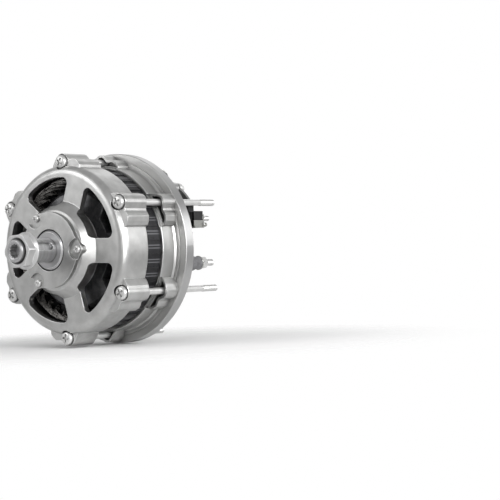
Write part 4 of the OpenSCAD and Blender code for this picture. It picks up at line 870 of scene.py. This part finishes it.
def phase_leads():
    """Bare tinned leads of the three phases: six strands twist round a middle one, each at a
    radius of 0.84 mm from the lead's path, with one turn in 9 mm."""
    strand = 0.44
    lay_radius = 0.84
    lay_length = 9.0
    top = 30.5
    for name, x in zip(("left", "middle", "right"), phase_x):
        route = [[x, -2, 48.8], [x, 0, 48.8], [x, 5, 50], [x, 8, 53], [x, 10, 56.8], [x, 13, 58.2],
                 [x, top - 4, 58], [x, top, 56.7], [x, top + 2, 53.6], [x, top + 2.4, 50],
                 [x, top + 2, 47.4], [x, top + 1.9, 45.2]]
        path = smooth_route(route, 90)
        run = np.concatenate([[0], np.cumsum(np.linalg.norm(np.diff(path, axis=0), axis=1))])
        along = unit(np.gradient(path, axis=0))
        u = np.array([1.0, 0.0, 0.0])
        v = np.cross(along, u)
        turn = 2 * np.pi * (np.arange(6)[:, None] / 6 + run / lay_length)
        strands = path + lay_radius * (np.cos(turn)[..., None] * u + np.sin(turn)[..., None] * v)
        parts = [swept(strands, strand, 6, (1, 0, 0)), swept(path, strand, 6, (1, 0, 0))]
        piece("phase_lead_strands_" + name, parts, TIN, stands_for=["phase_lead_" + name])


# Rib on the rear wall

def deck(radius):
    """Height of the rear wall's cone at a radius from the shaft: it rises evenly from the drum
    to the rear hub."""
    drum, hub = 57.2, 19.5
    return -2 + 11.5 * (drum - radius) / (drum - hub)


def curved_rib():
    """Low rounded rib cast on the rear wall beside the right block."""
    flat = np.array([[-20.8, 9.4], [-22.0, 6.4], [-24.2, 3.9], [-27.2, 2.5], [-31.0, 2.2], [-35.0, 2.5]])
    route = np.stack([flat[:, 0], deck(np.hypot(flat[:, 0], flat[:, 1])) + 0.2, flat[:, 1]], -1)
    piece("rear_wall_curved_rib", [swept(smooth_route(route, 40), 1.1, 12)], CAST)


# Studio

def paper():
    """Matt white paper under the object. It fades out 0.1 to 0.28 m away, where the white
    surroundings take over, so that no edge shows, and it keeps the object's shadow."""
    material, tree, shader = surface("paper_matt_white", "#F2F2F2", 0.0, 0.9, Specular_IOR_Level=0.0)
    where = add(tree, "ShaderNodeTexCoord")
    split = add(tree, "ShaderNodeSeparateXYZ", Vector=where.outputs["Object"])
    flat = add(tree, "ShaderNodeCombineXYZ", X=split.outputs["X"], Y=split.outputs["Y"])
    far = add(tree, "ShaderNodeVectorMath", {"operation": "LENGTH"}, i0=flat.outputs["Vector"])
    fade = add(tree, "ShaderNodeMapRange", {"interpolation_type": "SMOOTHSTEP"},
               Value=far.outputs["Value"], i1=0.1, i2=0.28)
    clear = add(tree, "ShaderNodeBsdfTransparent")
    mix = add(tree, "ShaderNodeMixShader", i0=fade.outputs["Result"], i1=shader.outputs[0],
              i2=clear.outputs[0])
    tree.links.new(mix.outputs[0], tree.nodes["Material Output"].inputs["Surface"])
    return material


def studio():
    """Paper floor, white surroundings, and six soft lamps. The surroundings light the object
    almost evenly, and it reflects them as white on the side of the backdrop, behind it. Towards
    +Y it reflects four bright panels with dark gaps, for the turned ring's rear face."""
    bpy.ops.mesh.primitive_plane_add(size=1.6, location=(0, 0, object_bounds()[0].z - 0.0006))
    floor = bpy.context.object
    floor.name = "floor"
    floor.data.materials.append(paper())
    floor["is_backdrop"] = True
    world = bpy.data.worlds.new("studio")
    bpy.context.scene.world = world
    world.use_nodes = True
    tree = world.node_tree
    tree.nodes.clear()
    rays = add(tree, "ShaderNodeLightPath")
    way = add(tree, "ShaderNodeTexCoord")
    split = add(tree, "ShaderNodeSeparateXYZ", Vector=way.outputs["Generated"])
    level = add(tree, "ShaderNodeMapRange", {"interpolation_type": "SMOOTHSTEP"}, Value=split.outputs["Z"],
                i1=-0.3, i2=0.8, i3=0.45, i4=0.5)
    side = add(tree, "ShaderNodeVectorMath", {"operation": "DOT_PRODUCT"}, i0=way.outputs["Generated"],
               i1=(-0.62, 0.78, 0.0))
    behind = add(tree, "ShaderNodeMapRange", {"interpolation_type": "SMOOTHSTEP"},
                 Value=side.outputs["Value"], i1=0.45, i2=0.95)
    shiny = add(tree, "ShaderNodeMath", {"operation": "MAXIMUM"}, i0=rays.outputs["Is Glossy Ray"],
                i1=rays.outputs["Is Transmission Ray"])
    seen = add(tree, "ShaderNodeMath", {"operation": "MULTIPLY"}, i0=shiny.outputs[0],
               i1=behind.outputs["Result"])
    around_y = add(tree, "ShaderNodeMath", {"operation": "ARCTAN2"}, i0=split.outputs["Z"],
                   i1=split.outputs["X"])
    fourfold = add(tree, "ShaderNodeMath", {"operation": "MULTIPLY_ADD"}, i0=around_y.outputs[0],
                   i1=4.0, i2=-1.2)
    wave = add(tree, "ShaderNodeMath", {"operation": "SINE"}, i0=fourfold.outputs[0])
    panels = add(tree, "ShaderNodeMapRange", {"interpolation_type": "SMOOTHSTEP"}, Value=wave.outputs[0],
                 i1=-0.7, i2=0.5, i3=0.35, i4=2.0)
    rearward = add(tree, "ShaderNodeMapRange", {"interpolation_type": "SMOOTHSTEP"}, Value=split.outputs["Y"],
                   i1=0.82, i2=0.93)
    mirrored = add(tree, "ShaderNodeMath", {"operation": "MULTIPLY"}, i0=rays.outputs["Is Glossy Ray"],
                   i1=rearward.outputs["Result"])
    strength = add(tree, "ShaderNodeMix", {"data_type": "FLOAT"}, Factor=mirrored.outputs[0],
                   i2=level.outputs["Result"], i3=panels.outputs["Result"])
    white_part = add(tree, "ShaderNodeMath", {"operation": "MAXIMUM"}, i0=rays.outputs["Is Camera Ray"],
                     i1=seen.outputs[0])
    soft = add(tree, "ShaderNodeBackground", Color=(1, 1, 1, 1), Strength=strength.outputs[0])
    white = add(tree, "ShaderNodeBackground", Color=(1, 1, 1, 1), Strength=1.0)
    mix = add(tree, "ShaderNodeMixShader", i0=white_part.outputs[0], i1=soft.outputs[0], i2=white.outputs[0])
    add(tree, "ShaderNodeOutputWorld", Surface=mix.outputs[0])
    for name, spot, size, power in (
            ("key", (-0.6, -0.95, 0.5), 0.7, 4.0),
            ("front", (0.75, -0.8, 0.5), 0.2, 1.9),
            ("side", (1.15, -0.3, 0.25), 0.6, 10.0),
            ("low", (0.9, -0.5, -0.02), 0.4, 1.0),
            ("rear_side", (1.05, 0.5, 0.35), 0.6, 4.2),
            ("back", (-0.3, 1.1, 0.6), 0.8, 1.0)):
        data = bpy.data.lights.new(name, "AREA")
        data.size = size
        data.energy = power
        lamp = bpy.data.objects.new(name, data)
        lamp.location = spot
        lamp.rotation_euler = (-Vector(spot)).to_track_quat("-Z", "Y").to_euler()
        bpy.context.scene.collection.objects.link(lamp)


def camera():
    """The photograph's view: the fitted place, direction, roll and focal length, with the
    object left of the frame's middle."""
    spot = Vector((808.67, -860.48, -11.01)) * MM
    azimuth, elevation, roll = map(math.radians, (38.5942, -0.3154, -2.0412))
    ahead = Vector((-math.sin(azimuth) * math.cos(elevation), math.cos(azimuth) * math.cos(elevation),
                    -math.sin(elevation)))
    right = Vector((math.cos(azimuth), math.sin(azimuth), 0.0))
    up = right.cross(ahead)
    side = math.cos(roll) * right + math.sin(roll) * up
    top = -math.sin(roll) * right + math.cos(roll) * up
    data = bpy.data.cameras.new("camera")
    data.lens = 113.0
    data.sensor_width = 36.0
    data.clip_start = 0.05
    data.clip_end = 20.0
    view = bpy.data.objects.new("camera", data)
    turn = Matrix((side, top, -ahead)).transposed().to_4x4()
    view.matrix_world = Matrix.Translation(spot) @ turn
    bpy.context.scene.collection.objects.link(view)
    bpy.context.scene.camera = view
    bpy.context.scene.view_settings.view_transform = "Standard"


def main():
    finish_nodes()
    windings()
    field_coil()
    brush_springs()
    shaft_nut()
    housing_screws()
    rear_screws()
    main_terminal()
    small_terminal()
    right_terminals()
    crimp_lugs()
    sleeved_leads()
    phase_leads()
    curved_rib()
    studio()
    camera()


main()
